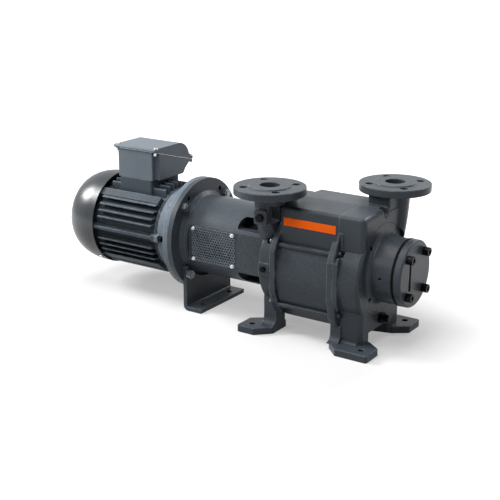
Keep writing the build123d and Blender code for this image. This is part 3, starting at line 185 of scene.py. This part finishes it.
def mixed(tree, amount, first, second):
    """Two colours mixed by a value. A colour may be a socket or four numbers."""
    node = tree.nodes.new("ShaderNodeMix")
    node.data_type = "RGBA"
    tree.links.new(amount, node.inputs[0])
    for socket, colour in ((node.inputs[6], first), (node.inputs[7], second)):
        if isinstance(colour, tuple):
            socket.default_value = colour
        else:
            tree.links.new(colour, socket)
    return node.outputs[2]


def bumped(tree, height, normal, strength, depth):
    """A normal roughened by a height pattern; without a normal, the piece's own."""
    node = add(tree, "ShaderNodeBump", Strength=strength, Distance=depth)
    tree.links.new(height, node.inputs["Height"])
    if normal:
        tree.links.new(normal, node.inputs["Normal"])
    return node.outputs["Normal"]


def complete(tree, shader, patterns, metallic, shine):
    """Joins the patterns to the shader and sets what is the same all over."""
    for name, pattern in zip(("Base Color", "Roughness", "Normal"), patterns):
        tree.links.new(pattern, shader.inputs[name])
    shader.inputs["Metallic"].default_value = metallic
    shader.inputs["Specular IOR Level"].default_value = shine


print("half shade of white:", shade((1.0, 1.0, 1.0), 0.5))

# %% [markdown]
# ## Edges
# Edges of a casting are never quite sharp, and paint pulls back from them, so they look
# lighter. The Bevel node rounds the shading at sharp edges. Comparing that rounded normal
# with the true one tells where an edge is, so the same node gives both the highlight and
# the lighter edge colour, which stands partly for worn paint and partly for a painted
# highlight.

# %% Rounded normals and where the edges are
BEVEL_SAMPLES = 4
FLAT_MATCH = 0.995
EDGE_MATCH = 0.90


def bevelled(tree, radius):
    """The normal with sharp edges rounded by this radius, in metres."""
    node = add(tree, "ShaderNodeBevel", Radius=radius)
    node.samples = BEVEL_SAMPLES
    return node.outputs["Normal"]


def edge_mask(tree, soft_normal):
    """1 on a sharp edge and 0 on a flat face, from the rounded and the true normal."""
    geometry = tree.nodes.new("ShaderNodeNewGeometry")
    match = tree.nodes.new("ShaderNodeVectorMath")
    match.operation = "DOT_PRODUCT"
    tree.links.new(soft_normal, match.inputs[0])
    tree.links.new(geometry.outputs["Normal"], match.inputs[1])
    return mapped(tree, match.outputs["Value"], FLAT_MATCH, EDGE_MATCH, 0.0, 1.0)


print("a face is flat where the normals match by", FLAT_MATCH)

# %% [markdown]
# ## Paint on castings
# The pump and the lantern are grey iron castings under a slate grey machine paint. Such
# paint shows the faint pebble of the sand mould, lighter specks on the tips of the
# pebble, a colour that is a little uneven over large areas, and lighter edges, partly
# worn and partly a painted highlight. The motor's parts have the same paint on smoother
# faces, and its sheet cowl is the glossiest.

# %% The paint recipe
CLOUDS_PER_METRE = 9.0
WAVES_PER_METRE = 50.0
SCUFFS_PER_METRE = 60.0
GRAIN_SIZE = 0.0024
GRAIN_DEPTH = 0.0005
WAVE_DEPTH = 0.002
CLOUD_SHADES = (0.86, 1.14)
SPECK_SHADE = 2.2
EDGE_WEAR_AND_HIGHLIGHT_SHADE = 6.0
SPECK_RANGE = (0.42, 0.72)
SCUFF_RANGE = (0.38, 0.62)
LEAST_WEAR_AND_HIGHLIGHT = 0.2
PAINT_GLOSS_SPAN = (-0.05, 0.07)


def paint(name, colour, gloss, pebble, edge=0.0020, wear_and_highlight=0.7, speckle=0.45, shine=0.08):
    """Machine paint: uneven colour, cast pebble, soft edges with wear and a painted
    highlight.
    """
    material, tree, shader = new_material(name)
    place = object_place(tree)
    clouds = noise(tree, place, CLOUDS_PER_METRE, detail=4.0)
    grain = noise(tree, place, 1.0 / GRAIN_SIZE)
    scuffs = noise(tree, place, SCUFFS_PER_METRE)
    waves = noise(tree, place, WAVES_PER_METRE, detail=2.0)
    soft_normal = bevelled(tree, edge)

    dark, light = (shade(colour, factor) for factor in CLOUD_SHADES)
    uneven = mixed(tree, spread(tree, clouds, 0.0, 1.0), dark, light)
    specks = mapped(tree, grain, *SPECK_RANGE, 0.0, speckle)
    speckled = mixed(tree, specks, uneven, shade(colour, SPECK_SHADE))
    # Edges get a lighter colour: partly worn paint, partly a painted highlight where light
    # catches them.
    wear_and_light_amount = mapped(tree, scuffs, *SCUFF_RANGE, wear_and_highlight * LEAST_WEAR_AND_HIGHLIGHT, wear_and_highlight)
    wear_and_light_edges = combined(tree, "MULTIPLY", edge_mask(tree, soft_normal), wear_and_light_amount)
    painted = mixed(tree, wear_and_light_edges, speckled, shade(colour, EDGE_WEAR_AND_HIGHLIGHT_SHADE))

    roughness = around(tree, clouds, gloss, PAINT_GLOSS_SPAN)
    fine = bumped(tree, grain, soft_normal, pebble, GRAIN_DEPTH)
    normal = bumped(tree, waves, fine, pebble / 2, WAVE_DEPTH)
    complete(tree, shader, (painted, roughness, normal), metallic=0.0, shine=shine)
    return material


print("grains to the metre:", round(1.0 / GRAIN_SIZE))

# %% The machine's paints
SLATE = (0.041, 0.050, 0.060)
# How much each paint's edges lighten stands partly for worn paint and partly for a painted
# highlight.
PAINTS = {
    "pump_paint": dict(colour=shade(SLATE, 0.80), gloss=0.34, pebble=0.35, edge=0.0028,
                       shine=0.16),
    "lantern_paint": dict(colour=shade(SLATE, 0.92), gloss=0.34, pebble=0.35, speckle=0.5,
                          shine=0.16),
    "motor_paint": dict(colour=SLATE, gloss=0.38, pebble=0.15, wear_and_highlight=1.0),
    "cowl_paint": dict(colour=shade(SLATE, 0.42), gloss=0.27, pebble=0.04, wear_and_highlight=0.3,
                       speckle=0.1, shine=0.45),
    "box_paint": dict(colour=shade(SLATE, 2.2), gloss=0.36, pebble=0.10, wear_and_highlight=0.0,
                      speckle=0.2, shine=0.2),
    "shield_alloy": dict(colour=shade(SLATE, 2.5), gloss=0.38, pebble=0.18, wear_and_highlight=0.4),
    "guard_steel": dict(colour=shade(SLATE, 2.6), gloss=0.32, pebble=0.05, edge=0.0004,
                        speckle=0.1, shine=0.4),
}
finishes = {name: paint(name, **look) for name, look in PAINTS.items()}
print("paints:", sorted(finishes))

# %% [markdown]
# ## Bare metals
# Screws, shafts, bearings and the impeller show bare metal. Turned and ground metal has
# fine marks that run round or along it; a noise that is squeezed many times in one
# direction looks like them. Zinc plating is bright and a little cloudy, black oxide is
# nearly black with a soft sheen, and bronze is warm.

# %% The metal recipe
STAINS_PER_METRE = 40.0
STAIN_SHADES = (0.85, 1.1)
MARK_DEPTH = 0.0001
METAL_EDGE = 0.0004
METAL_GLOSS_SPAN = (-0.06, 0.08)


def metal(name, colour, roughness, marks=0.15, mark_size=0.0006, stretch=(1.0, 1.0, 1.0),
          metallic=1.0, shine=0.5):
    """Bare metal with fine tool marks, scaled by these factors along X, Y and Z."""
    material, tree, shader = new_material(name)
    place = object_place(tree)
    mapping = add(tree, "ShaderNodeMapping", Scale=stretch)
    tree.links.new(place, mapping.inputs["Vector"])
    lines = noise(tree, mapping.outputs["Vector"], 1.0 / mark_size, detail=2.0)
    stains = noise(tree, place, STAINS_PER_METRE)
    dark, light = (shade(colour, factor) for factor in STAIN_SHADES)
    tint = mixed(tree, spread(tree, stains, 0.0, 1.0), dark, light)
    gloss = around(tree, lines, roughness, METAL_GLOSS_SPAN)
    normal = bumped(tree, lines, bevelled(tree, METAL_EDGE), marks, MARK_DEPTH)
    complete(tree, shader, (tint, gloss, normal), metallic, shine)
    return material


print("metal edges are rounded by", METAL_EDGE, "m")

# %% The machine's metals
METALS = {
    "zinc_steel": dict(colour=(0.62, 0.64, 0.66), roughness=0.28),
    "black_steel": dict(colour=(0.003, 0.003, 0.0035), roughness=0.30, metallic=0.0,
                        shine=0.08),
    "shaft_steel": dict(colour=(0.55, 0.56, 0.57), roughness=0.25, stretch=(8.0, 1.0, 1.0)),
    "bearing_steel": dict(colour=(0.70, 0.71, 0.72), roughness=0.12, marks=0.03),
    "cast_iron": dict(colour=(0.12, 0.12, 0.13), roughness=0.5, marks=0.4, metallic=0.7),
    "coupling_iron": dict(colour=(0.10, 0.10, 0.11), roughness=0.45, marks=0.3,
                          metallic=0.7),
    "impeller_bronze": dict(colour=(0.55, 0.34, 0.13), roughness=0.38, marks=0.3),
    "lamination_steel": dict(colour=(0.22, 0.23, 0.25), roughness=0.45,
                             stretch=(20.0, 1.0, 1.0)),
    "copper": dict(colour=(0.60, 0.22, 0.10), roughness=0.35, mark_size=0.002,
                   stretch=(6.0, 1.0, 1.0)),
}
finishes.update({name: metal(name, **look) for name, look in METALS.items()})
print("metals:", sorted(METALS))

# %% [markdown]
# ## Rubber, plastic and the label
# The coupling's spider, the gaskets, the fan and the label are not metal. They differ in
# gloss and in how strong their fine texture is. The label is a strip of film, kept as a
# bare orange field here: flat colour, matt, with a faint ripple.

# %% The recipe for rubber and plastic
PATCHES_PER_METRE = 25.0
PATCH_SHADES = (0.94, 1.06)
TEXTURE_SIZE = 0.0008
TEXTURE_DEPTH = 0.0002
PLASTIC_GLOSS_SPAN = (-0.03, 0.05)


def plastic(name, colour, roughness, texture=0.1, shine=0.4):
    """A moulded or printed surface: even colour, slight texture."""
    material, tree, shader = new_material(name)
    place = object_place(tree)
    patches = noise(tree, place, PATCHES_PER_METRE, detail=2.0)
    dark, light = (shade(colour, factor) for factor in PATCH_SHADES)
    tint = mixed(tree, patches, dark, light)
    gloss = around(tree, patches, roughness, PLASTIC_GLOSS_SPAN)
    height = noise(tree, place, 1.0 / TEXTURE_SIZE, detail=2.0)
    normal = bumped(tree, height, None, texture, TEXTURE_DEPTH)
    complete(tree, shader, (tint, gloss, normal), metallic=0.0, shine=shine)
    return material


PLASTICS = {
    "spider_rubber": dict(colour=(0.02, 0.02, 0.022), roughness=0.5),
    "gasket_rubber": dict(colour=(0.004, 0.004, 0.004), roughness=0.7, shine=0.05),
    "seal_ceramic": dict(colour=(0.62, 0.58, 0.50), roughness=0.25, texture=0.02),
    "black_plastic": dict(colour=(0.015, 0.015, 0.017), roughness=0.45),
    "label_orange": dict(colour=(1.0, 0.135, 0.006), roughness=0.6, texture=0.02,
                         shine=0.08),
}
finishes.update({name: plastic(name, **look) for name, look in PLASTICS.items()})
print("all finishes:", len(finishes))

# %% [markdown]
# ## Give every CAD node its finish
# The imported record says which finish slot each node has. The node's mesh stays as it is;
# only what fills its material slots changes.

# %% Dress the CAD nodes
slot_of = {entry["node"]: entry["material_slot"] for entry in frame["record"]["subparts"]}
for node_name, node in frame["nodes"].items():
    finish = finishes[slot_of[node_name]]
    if not node.material_slots:
        node.data.materials.append(finish)
    for holder in node.material_slots:
        holder.material = finish
print("dressed", len(slot_of), "nodes")

# %% [markdown]
# A few fasteners differ from the rest of their kind. The nuts and bolts of the lantern's
# flanges and the small bolts that hold the casings together got some of the machine's
# paint, so they are darker than clean zinc and mostly their facets catch the light.

# %% Fasteners that got some paint
PAINTED_FASTENERS = ("flange_nuts", "flange_bolts", "casing_bolts", "lantern_screws")
overpaint = metal("painted_fastener", (0.20, 0.215, 0.235), roughness=0.22, metallic=0.7)
for node_name in PAINTED_FASTENERS:
    for holder in frame["nodes"][node_name].material_slots:
        holder.material = overpaint
print("partly painted:", PAINTED_FASTENERS)

# %% [markdown]
# ## Perforated guards
# The two guards over the lantern's windows are sheet steel with hundreds of small round
# holes in staggered rows. One hole in its six-sided cell is modelled: a ring of twelve
# edges for the hole, another for the cell, and the band between them. Everything else
# repeats that cell, so the holes are real and still have few faces.

# %% One cell with its hole
HOLE_PITCH = 0.0066
HOLE_RADIUS = 0.00285
CELL_SIDES = 6


def hole_cell():
    """A six-sided cell with a round hole, flat in XY: twelve corners outside and inside."""
    outer_radius = HOLE_PITCH / math.sqrt(3.0)
    bpy.ops.mesh.primitive_circle_add(vertices=CELL_SIDES, radius=outer_radius,
                                      fill_type="NOTHING")
    cell = bpy.context.object
    bpy.ops.object.mode_set(mode="EDIT")
    bpy.ops.mesh.select_all(action="SELECT")
    bpy.ops.mesh.subdivide(number_cuts=1)
    bpy.ops.mesh.select_all(action="DESELECT")
    bpy.ops.mesh.primitive_circle_add(vertices=2 * CELL_SIDES, radius=HOLE_RADIUS,
                                      fill_type="NOTHING")
    bpy.ops.mesh.select_all(action="SELECT")
    bpy.ops.mesh.bridge_edge_loops()
    bpy.ops.object.mode_set(mode="OBJECT")
    return cell


print("cell pitch:", HOLE_PITCH, "hole:", 2 * HOLE_RADIUS)

# %% [markdown]
# Three array modifiers fill the sheet. The first sets a second cell beside the first one,
# half a pitch further in the next row. The other two repeat that pair along the row and
# from row to row. The sheet starts a little too large, because it is cut to size later.

# %% A flat sheet of cells
CELL_MERGE = 0.00005
SPARE_COLUMNS = 3
SPARE_ROW_PAIRS = 2


def select_only(piece):
    """Makes this piece the only selected and the active one."""
    bpy.ops.object.select_all(action="DESELECT")
    piece.select_set(True)
    bpy.context.view_layer.objects.active = piece


def apply_modifiers(piece):
    """Applies every modifier in order."""
    select_only(piece)
    for modifier in list(piece.modifiers):
        bpy.ops.object.modifier_apply(modifier=modifier.name)


def repeat(piece, count, step):
    """Copies the piece in a row and joins what touches."""
    array = piece.modifiers.new("row", "ARRAY")
    array.count = count
    array.use_relative_offset = False
    array.use_constant_offset = True
    array.constant_offset_displace = step
    array.use_merge_vertices = True
    array.merge_threshold = CELL_MERGE


def flat_sheet(name, length, height):
    """Cells that cover a little more than this size, flat in XY, middle on the origin."""
    row_step = HOLE_PITCH * math.sqrt(3.0) / 2
    columns = int(length / HOLE_PITCH) + SPARE_COLUMNS
    row_pairs = int(height / (2 * row_step)) + SPARE_ROW_PAIRS
    sheet = hole_cell()
    sheet.name = name
    repeat(sheet, 2, (HOLE_PITCH / 2, row_step, 0))
    repeat(sheet, columns, (HOLE_PITCH, 0, 0))
    repeat(sheet, row_pairs, (0, 2 * row_step, 0))
    apply_modifiers(sheet)
    bpy.ops.object.mode_set(mode="EDIT")
    bpy.ops.mesh.select_all(action="SELECT")
    bpy.ops.transform.translate(value=(-columns * HOLE_PITCH / 2, -row_pairs * row_step, 0))
    bpy.ops.object.mode_set(mode="OBJECT")
    return sheet


print("spare columns:", SPARE_COLUMNS, "spare pairs of rows:", SPARE_ROW_PAIRS)

# %% [markdown]
# The flat sheet is stood up in its window, four bisect cuts trim it to the plain guard's
# sides, and Solidify gives it the thickness of the sheet. Solidify works about the
# middle, so the sheet is then moved inwards by half its thickness, which brings its outer
# face back to the plain guard's.

# %% Standing up, trimming and thickening
SHEET_MERGE = 0.00004
SHEET_SHARE = 0.98


def stand_in_window(sheet, low, high, outward):
    """Stands the flat sheet up at the guard's outer face and trims it to four sides."""
    middle = (low + high) / 2
    bpy.ops.object.mode_set(mode="EDIT")
    bpy.ops.mesh.select_all(action="SELECT")
    bpy.ops.transform.rotate(value=math.radians(-90), orient_axis="X",
                             center_override=(0, 0, 0))
    bpy.ops.transform.translate(value=(middle.x, 0, middle.z))
    for point, normal in (
        ((low.x, 0, 0), (-1, 0, 0)), ((high.x, 0, 0), (1, 0, 0)),
        ((0, 0, low.z), (0, 0, -1)), ((0, 0, high.z), (0, 0, 1)),
    ):
        bpy.ops.mesh.select_all(action="SELECT")
        bpy.ops.mesh.bisect(plane_co=point, plane_no=normal, clear_outer=True)
    bpy.ops.mesh.select_all(action="SELECT")
    bpy.ops.transform.translate(value=(0, low.y if outward < 0 else high.y, 0))
    bpy.ops.mesh.remove_doubles(threshold=SHEET_MERGE)
    bpy.ops.object.mode_set(mode="OBJECT")


def thicken(sheet, thickness, outward):
    """Gives the sheet its thickness, inwards from where it stands."""
    wall = sheet.modifiers.new("thickness", "SOLIDIFY")
    wall.thickness = thickness * SHEET_SHARE
    wall.offset = 0
    apply_modifiers(sheet)
    bpy.ops.object.mode_set(mode="EDIT")
    bpy.ops.mesh.select_all(action="SELECT")
    bpy.ops.mesh.normals_make_consistent(inside=False)
    bpy.ops.transform.translate(value=(0, -outward * thickness / 2, 0))
    bpy.ops.object.mode_set(mode="OBJECT")


print("the sheet takes", SHEET_SHARE, "of the plain guard's thickness")

# %% Both guards
for name, node_name, outward in (
    ("guard_sheet_front", "mesh_guard_front", -1),
    ("guard_sheet_rear", "mesh_guard_rear", 1),
):
    low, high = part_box(node_name)
    sheet = flat_sheet(name, high.x - low.x, high.z - low.z)
    stand_in_window(sheet, low, high, outward)
    thicken(sheet, high.y - low.y, outward)
    sheet.data.materials.append(finishes["guard_steel"])
    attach(sheet, "stator")
    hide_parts(node_name)
    print(name, len(sheet.data.polygons), "faces")

# %% [markdown]
# ## Shoulders and bars of the casings
# Where the three casings of the pump meet, thick flanges run round the barrel. Above and
# below they leave the round and go on as straight shoulders, to the box on top and to the
# feet below, and two bars tie them together along the barrel. Each is a cast block with
# cut corners: a cube is added at its size, cut by slanted planes, and its edges are
# rounded by a bevel. The front one is modelled, and the one at the back is its mirror
# image.

# %% Blocks with cut corners
CAST_EDGE = 0.0014
CAST_EDGE_STEPS = 3


def cast_block(along, across, up, cuts=()):
    """A block with rounded edges: from where to where along X, Y and Z, and its cuts."""
    spans = (along, across, up)
    bpy.ops.mesh.primitive_cube_add(size=1.0, location=[(a + b) / 2 for a, b in spans])
    block = bpy.context.object
    block.scale = [b - a for a, b in spans]
    select_only(block)
    bpy.ops.object.transform_apply(location=True, rotation=True, scale=True)
    bpy.ops.object.mode_set(mode="EDIT")
    for point, normal in cuts:
        bpy.ops.mesh.select_all(action="SELECT")
        bpy.ops.mesh.bisect(plane_co=point, plane_no=normal, use_fill=True, clear_outer=True)
    bpy.ops.mesh.select_all(action="SELECT")
    bpy.ops.mesh.bevel(offset=CAST_EDGE, segments=CAST_EDGE_STEPS, affect="EDGES")
    bpy.ops.object.mode_set(mode="OBJECT")
    return block


def slant(place, away):
    """A plane along the shaft: a point on it and the direction cut away, both as Y, Z."""
    return (0.0, *place), (0.0, *away)


print("cast edges are rounded by", CAST_EDGE, "m")

# %% The mirror image, and seating a piece
SMOOTH_UP_TO = math.radians(40)


def both_sides(pieces, name):
    """Joins the pieces and adds their mirror image on the other side of the shaft."""
    bpy.ops.object.select_all(action="DESELECT")
    for piece in pieces:
        piece.select_set(True)
    bpy.context.view_layer.objects.active = pieces[0]
    if len(pieces) > 1:
        bpy.ops.object.join()
    whole = bpy.context.object
    whole.name = name
    bpy.ops.object.mode_set(mode="EDIT")
    bpy.ops.mesh.select_all(action="SELECT")
    bpy.ops.mesh.duplicate()
    bpy.ops.transform.mirror(constraint_axis=(False, True, False), center_override=(0, 0, 0))
    bpy.ops.mesh.select_all(action="SELECT")
    bpy.ops.mesh.normals_make_consistent(inside=False)
    bpy.ops.object.mode_set(mode="OBJECT")
    bpy.ops.object.shade_smooth_by_angle(angle=SMOOTH_UP_TO)
    return whole


def seat(piece, body, slot_name):
    """Gives a new piece its finish and ties it to the body that carries it."""
    piece.data.materials.clear()
    piece.data.materials.append(finishes[slot_name])
    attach(piece, body)
    print(piece.name, len(piece.data.polygons), "faces")


# %% [markdown]
# The free end has a shoulder above and one below. The drive end has only one below,
# because the port's neck stands above it. The names give the faces of the casings that
# bound the shoulders and the bars along the shaft. The other numbers are how far each
# block lies from the shaft's plane, on the front side, and how high above the table.

# %% Shoulders at both ends
FREE_FACE = 0.0700
FREE_JOINT = 0.0652
FREE_FLANGE = 0.0530
DRIVE_FACE = -0.0874
DRIVE_FLANGE = -0.0700

free_upper = cast_block(
    along=(FREE_JOINT, FREE_FACE), across=(-0.1078, -0.082), up=(0.190, 0.2448),
    cuts=[slant(place=(-0.1078, 0.199), away=(-0.046, 0.020))])
free_lower = cast_block(
    along=(FREE_FLANGE, FREE_FACE), across=(-0.1070, -0.078), up=(0.044, 0.112),
    cuts=[slant(place=(-0.1070, 0.106), away=(-0.039, -0.006)),
          slant(place=(-0.1000, 0.067), away=(-0.023, -0.014))])
seat(both_sides([free_upper, free_lower], "free_end_shoulders"), "stator", "pump_paint")
drive_lower = cast_block(
    along=(DRIVE_FACE, DRIVE_FLANGE), across=(-0.1030, -0.074), up=(0.046, 0.112),
    cuts=[slant(place=(-0.1030, 0.100), away=(-0.024, -0.005)),
          slant(place=(-0.0985, 0.077), away=(-0.027, -0.017))])
seat(both_sides([drive_lower], "drive_end_shoulders"), "stator", "pump_paint")

# %% Bars along the barrel
BAR_HEIGHT = 0.0075
BAR_FLOORS = (0.1962, 0.0662)
BAR_DEPTH = (-0.0950, -0.0800)
BAR_OVERLAP = 0.0005

bars = [cast_block(along=(DRIVE_FLANGE - BAR_OVERLAP, FREE_FLANGE), across=BAR_DEPTH,
                   up=(floor, floor + BAR_HEIGHT)) for floor in BAR_FLOORS]
seat(both_sides(bars, "barrel_bars"), "stator", "pump_paint")

# %% [markdown]
# ## The seal between housing and end cover
# A black seal shows as a wide dark line round the end cover. It is a flat ring that lies a
# hair above both rims: a cylinder without ends, given its thickness by Solidify.

# %% The seal's ring
SHAFT_HEIGHT = 0.160
SEAL_RADIUS = 0.0696
SEAL_FROM = 0.1738
SEAL_TO = 0.1796
SEAL_WALL = 0.0008
SEAL_SIDES = 160

bpy.ops.mesh.primitive_cylinder_add(
    vertices=SEAL_SIDES, radius=SEAL_RADIUS, depth=SEAL_TO - SEAL_FROM,
    end_fill_type="NOTHING", location=((SEAL_FROM + SEAL_TO) / 2, 0.0, SHAFT_HEIGHT),
    rotation=(0.0, math.radians(90), 0.0))
seal = bpy.context.object
seal.name = "cover_seal"
select_only(seal)
bpy.ops.object.transform_apply(location=True, rotation=True, scale=True)
wall = seal.modifiers.new("thickness", "SOLIDIFY")
wall.thickness = SEAL_WALL
wall.offset = -1
apply_modifiers(seal)
bpy.ops.object.shade_smooth_by_angle(angle=SMOOTH_UP_TO)
seat(seal, "stator", "gasket_rubber")

# %% [markdown]
# ## The white table
# A studio picture on white has a table that is nearly as bright as paper, with only the
# soft shadow under the machine left on it. Lighting the table until it clips would also
# burn out the machine. Light Path's ray sockets solve it: only rays that come straight
# from the camera, or by a reflection or through glass, see a little extra white on the
# table, while the lamps' light on the machine stays as it is. Away from the machine the
# table is plain white, so the shadow fades out there.

# %% Which rays see the extra white
def seen_rays(tree):
    """1 for rays from the camera and for reflections, 0 for light that bounces."""
    rays = tree.nodes.new("ShaderNodeLightPath")
    direct = combined(tree, "MAXIMUM", rays.outputs["Is Camera Ray"],
                      rays.outputs["Is Glossy Ray"])
    return combined(tree, "MAXIMUM", direct, rays.outputs["Is Transmission Ray"])


print("extra white for camera, glossy and transmission rays")

# %% The table
WHITE = (1.0, 1.0, 1.0, 1.0)
TABLE_COLOUR = (0.42, 0.415, 0.415, 1.0)
TABLE_ROUGHNESS = 0.9
TABLE_SHINE = 0.1
TABLE_LIFT = 0.35
TABLE_MIDDLE = (-0.28, -0.12, 0.0)
TABLE_NEAR = 0.46
TABLE_FAR = 0.92
TABLE_SIZE = 40.0
TABLE_TOP = -0.0002

table_material, table_tree, table_shader = new_material("white_table")
table_shader.inputs["Base Color"].default_value = TABLE_COLOUR
table_shader.inputs["Roughness"].default_value = TABLE_ROUGHNESS
table_shader.inputs["Specular IOR Level"].default_value = TABLE_SHINE
table_shader.inputs["Emission Color"].default_value = WHITE
distance = table_tree.nodes.new("ShaderNodeVectorMath")
distance.operation = "DISTANCE"
distance.inputs[1].default_value = TABLE_MIDDLE
table_tree.links.new(object_place(table_tree), distance.inputs[0])
lift = mapped(table_tree, distance.outputs["Value"], TABLE_NEAR, TABLE_FAR, TABLE_LIFT, 1.0)
extra_white = combined(table_tree, "MULTIPLY", lift, seen_rays(table_tree))
table_tree.links.new(extra_white, table_shader.inputs["Emission Strength"])

bpy.ops.mesh.primitive_plane_add(size=TABLE_SIZE, location=(0, 0, TABLE_TOP))
table = bpy.context.object
table.name = "studio_table"
table.data.materials.append(table_material)
print("table:", tuple(round(side, 1) for side in table.dimensions))

# %% [markdown]
# ## The world
# The world adds a weak, even fill from all sides, and is white where the camera or a
# reflection sees it, with the same ray sockets as the table.

# %% A fill that looks white
FILL = 0.02

world = bpy.data.worlds.new("studio_world")
bpy.context.scene.world = world
world.use_nodes = True
background = world.node_tree.nodes["Background"]
background.inputs["Color"].default_value = WHITE
fill_or_white = mapped(world.node_tree, seen_rays(world.node_tree), 0.0, 1.0, FILL, 1.0)
world.node_tree.links.new(fill_or_white, background.inputs["Strength"])
print("fill:", FILL)

# %% [markdown]
# ## Lamps
# Large square lamps make the soft light of a product picture. One hangs over the machine
# and brightens the tops. The strongest stands high on the left, so the left sides of the
# rounds are bright and the faces that look to the right stay dark. Two weak ones open
# the shadows on the right and in front, and one behind the machine throws a soft shadow
# to the front.

# %% Five soft lamps
LAMP_AIM = (-0.2, 0.0, 0.12)


def soft_lamp(name, place, size, power):
    """A square area lamp that looks at the middle of the machine."""
    bpy.ops.object.light_add(type="AREA", location=place)
    lamp = bpy.context.object
    lamp.name = name
    lamp.data.shape = "SQUARE"
    lamp.data.size = size
    lamp.data.energy = power
    aim(lamp, LAMP_AIM)
    print(name, power, "W")


soft_lamp("top_lamp", (-0.3, -0.6, 2.6), size=1.8, power=70.0)
soft_lamp("left_lamp", (-2.3, -0.7, 1.5), size=0.8, power=76.0)
soft_lamp("right_lamp", (2.4, 0.0, 1.0), size=1.2, power=9.0)
soft_lamp("front_lamp", (-0.9, -2.2, 1.8), size=1.0, power=18.0)
soft_lamp("back_lamp", (0.3, 2.1, 1.8), size=0.9, power=24.0)
bpy.context.scene.view_settings.view_transform = "Standard"
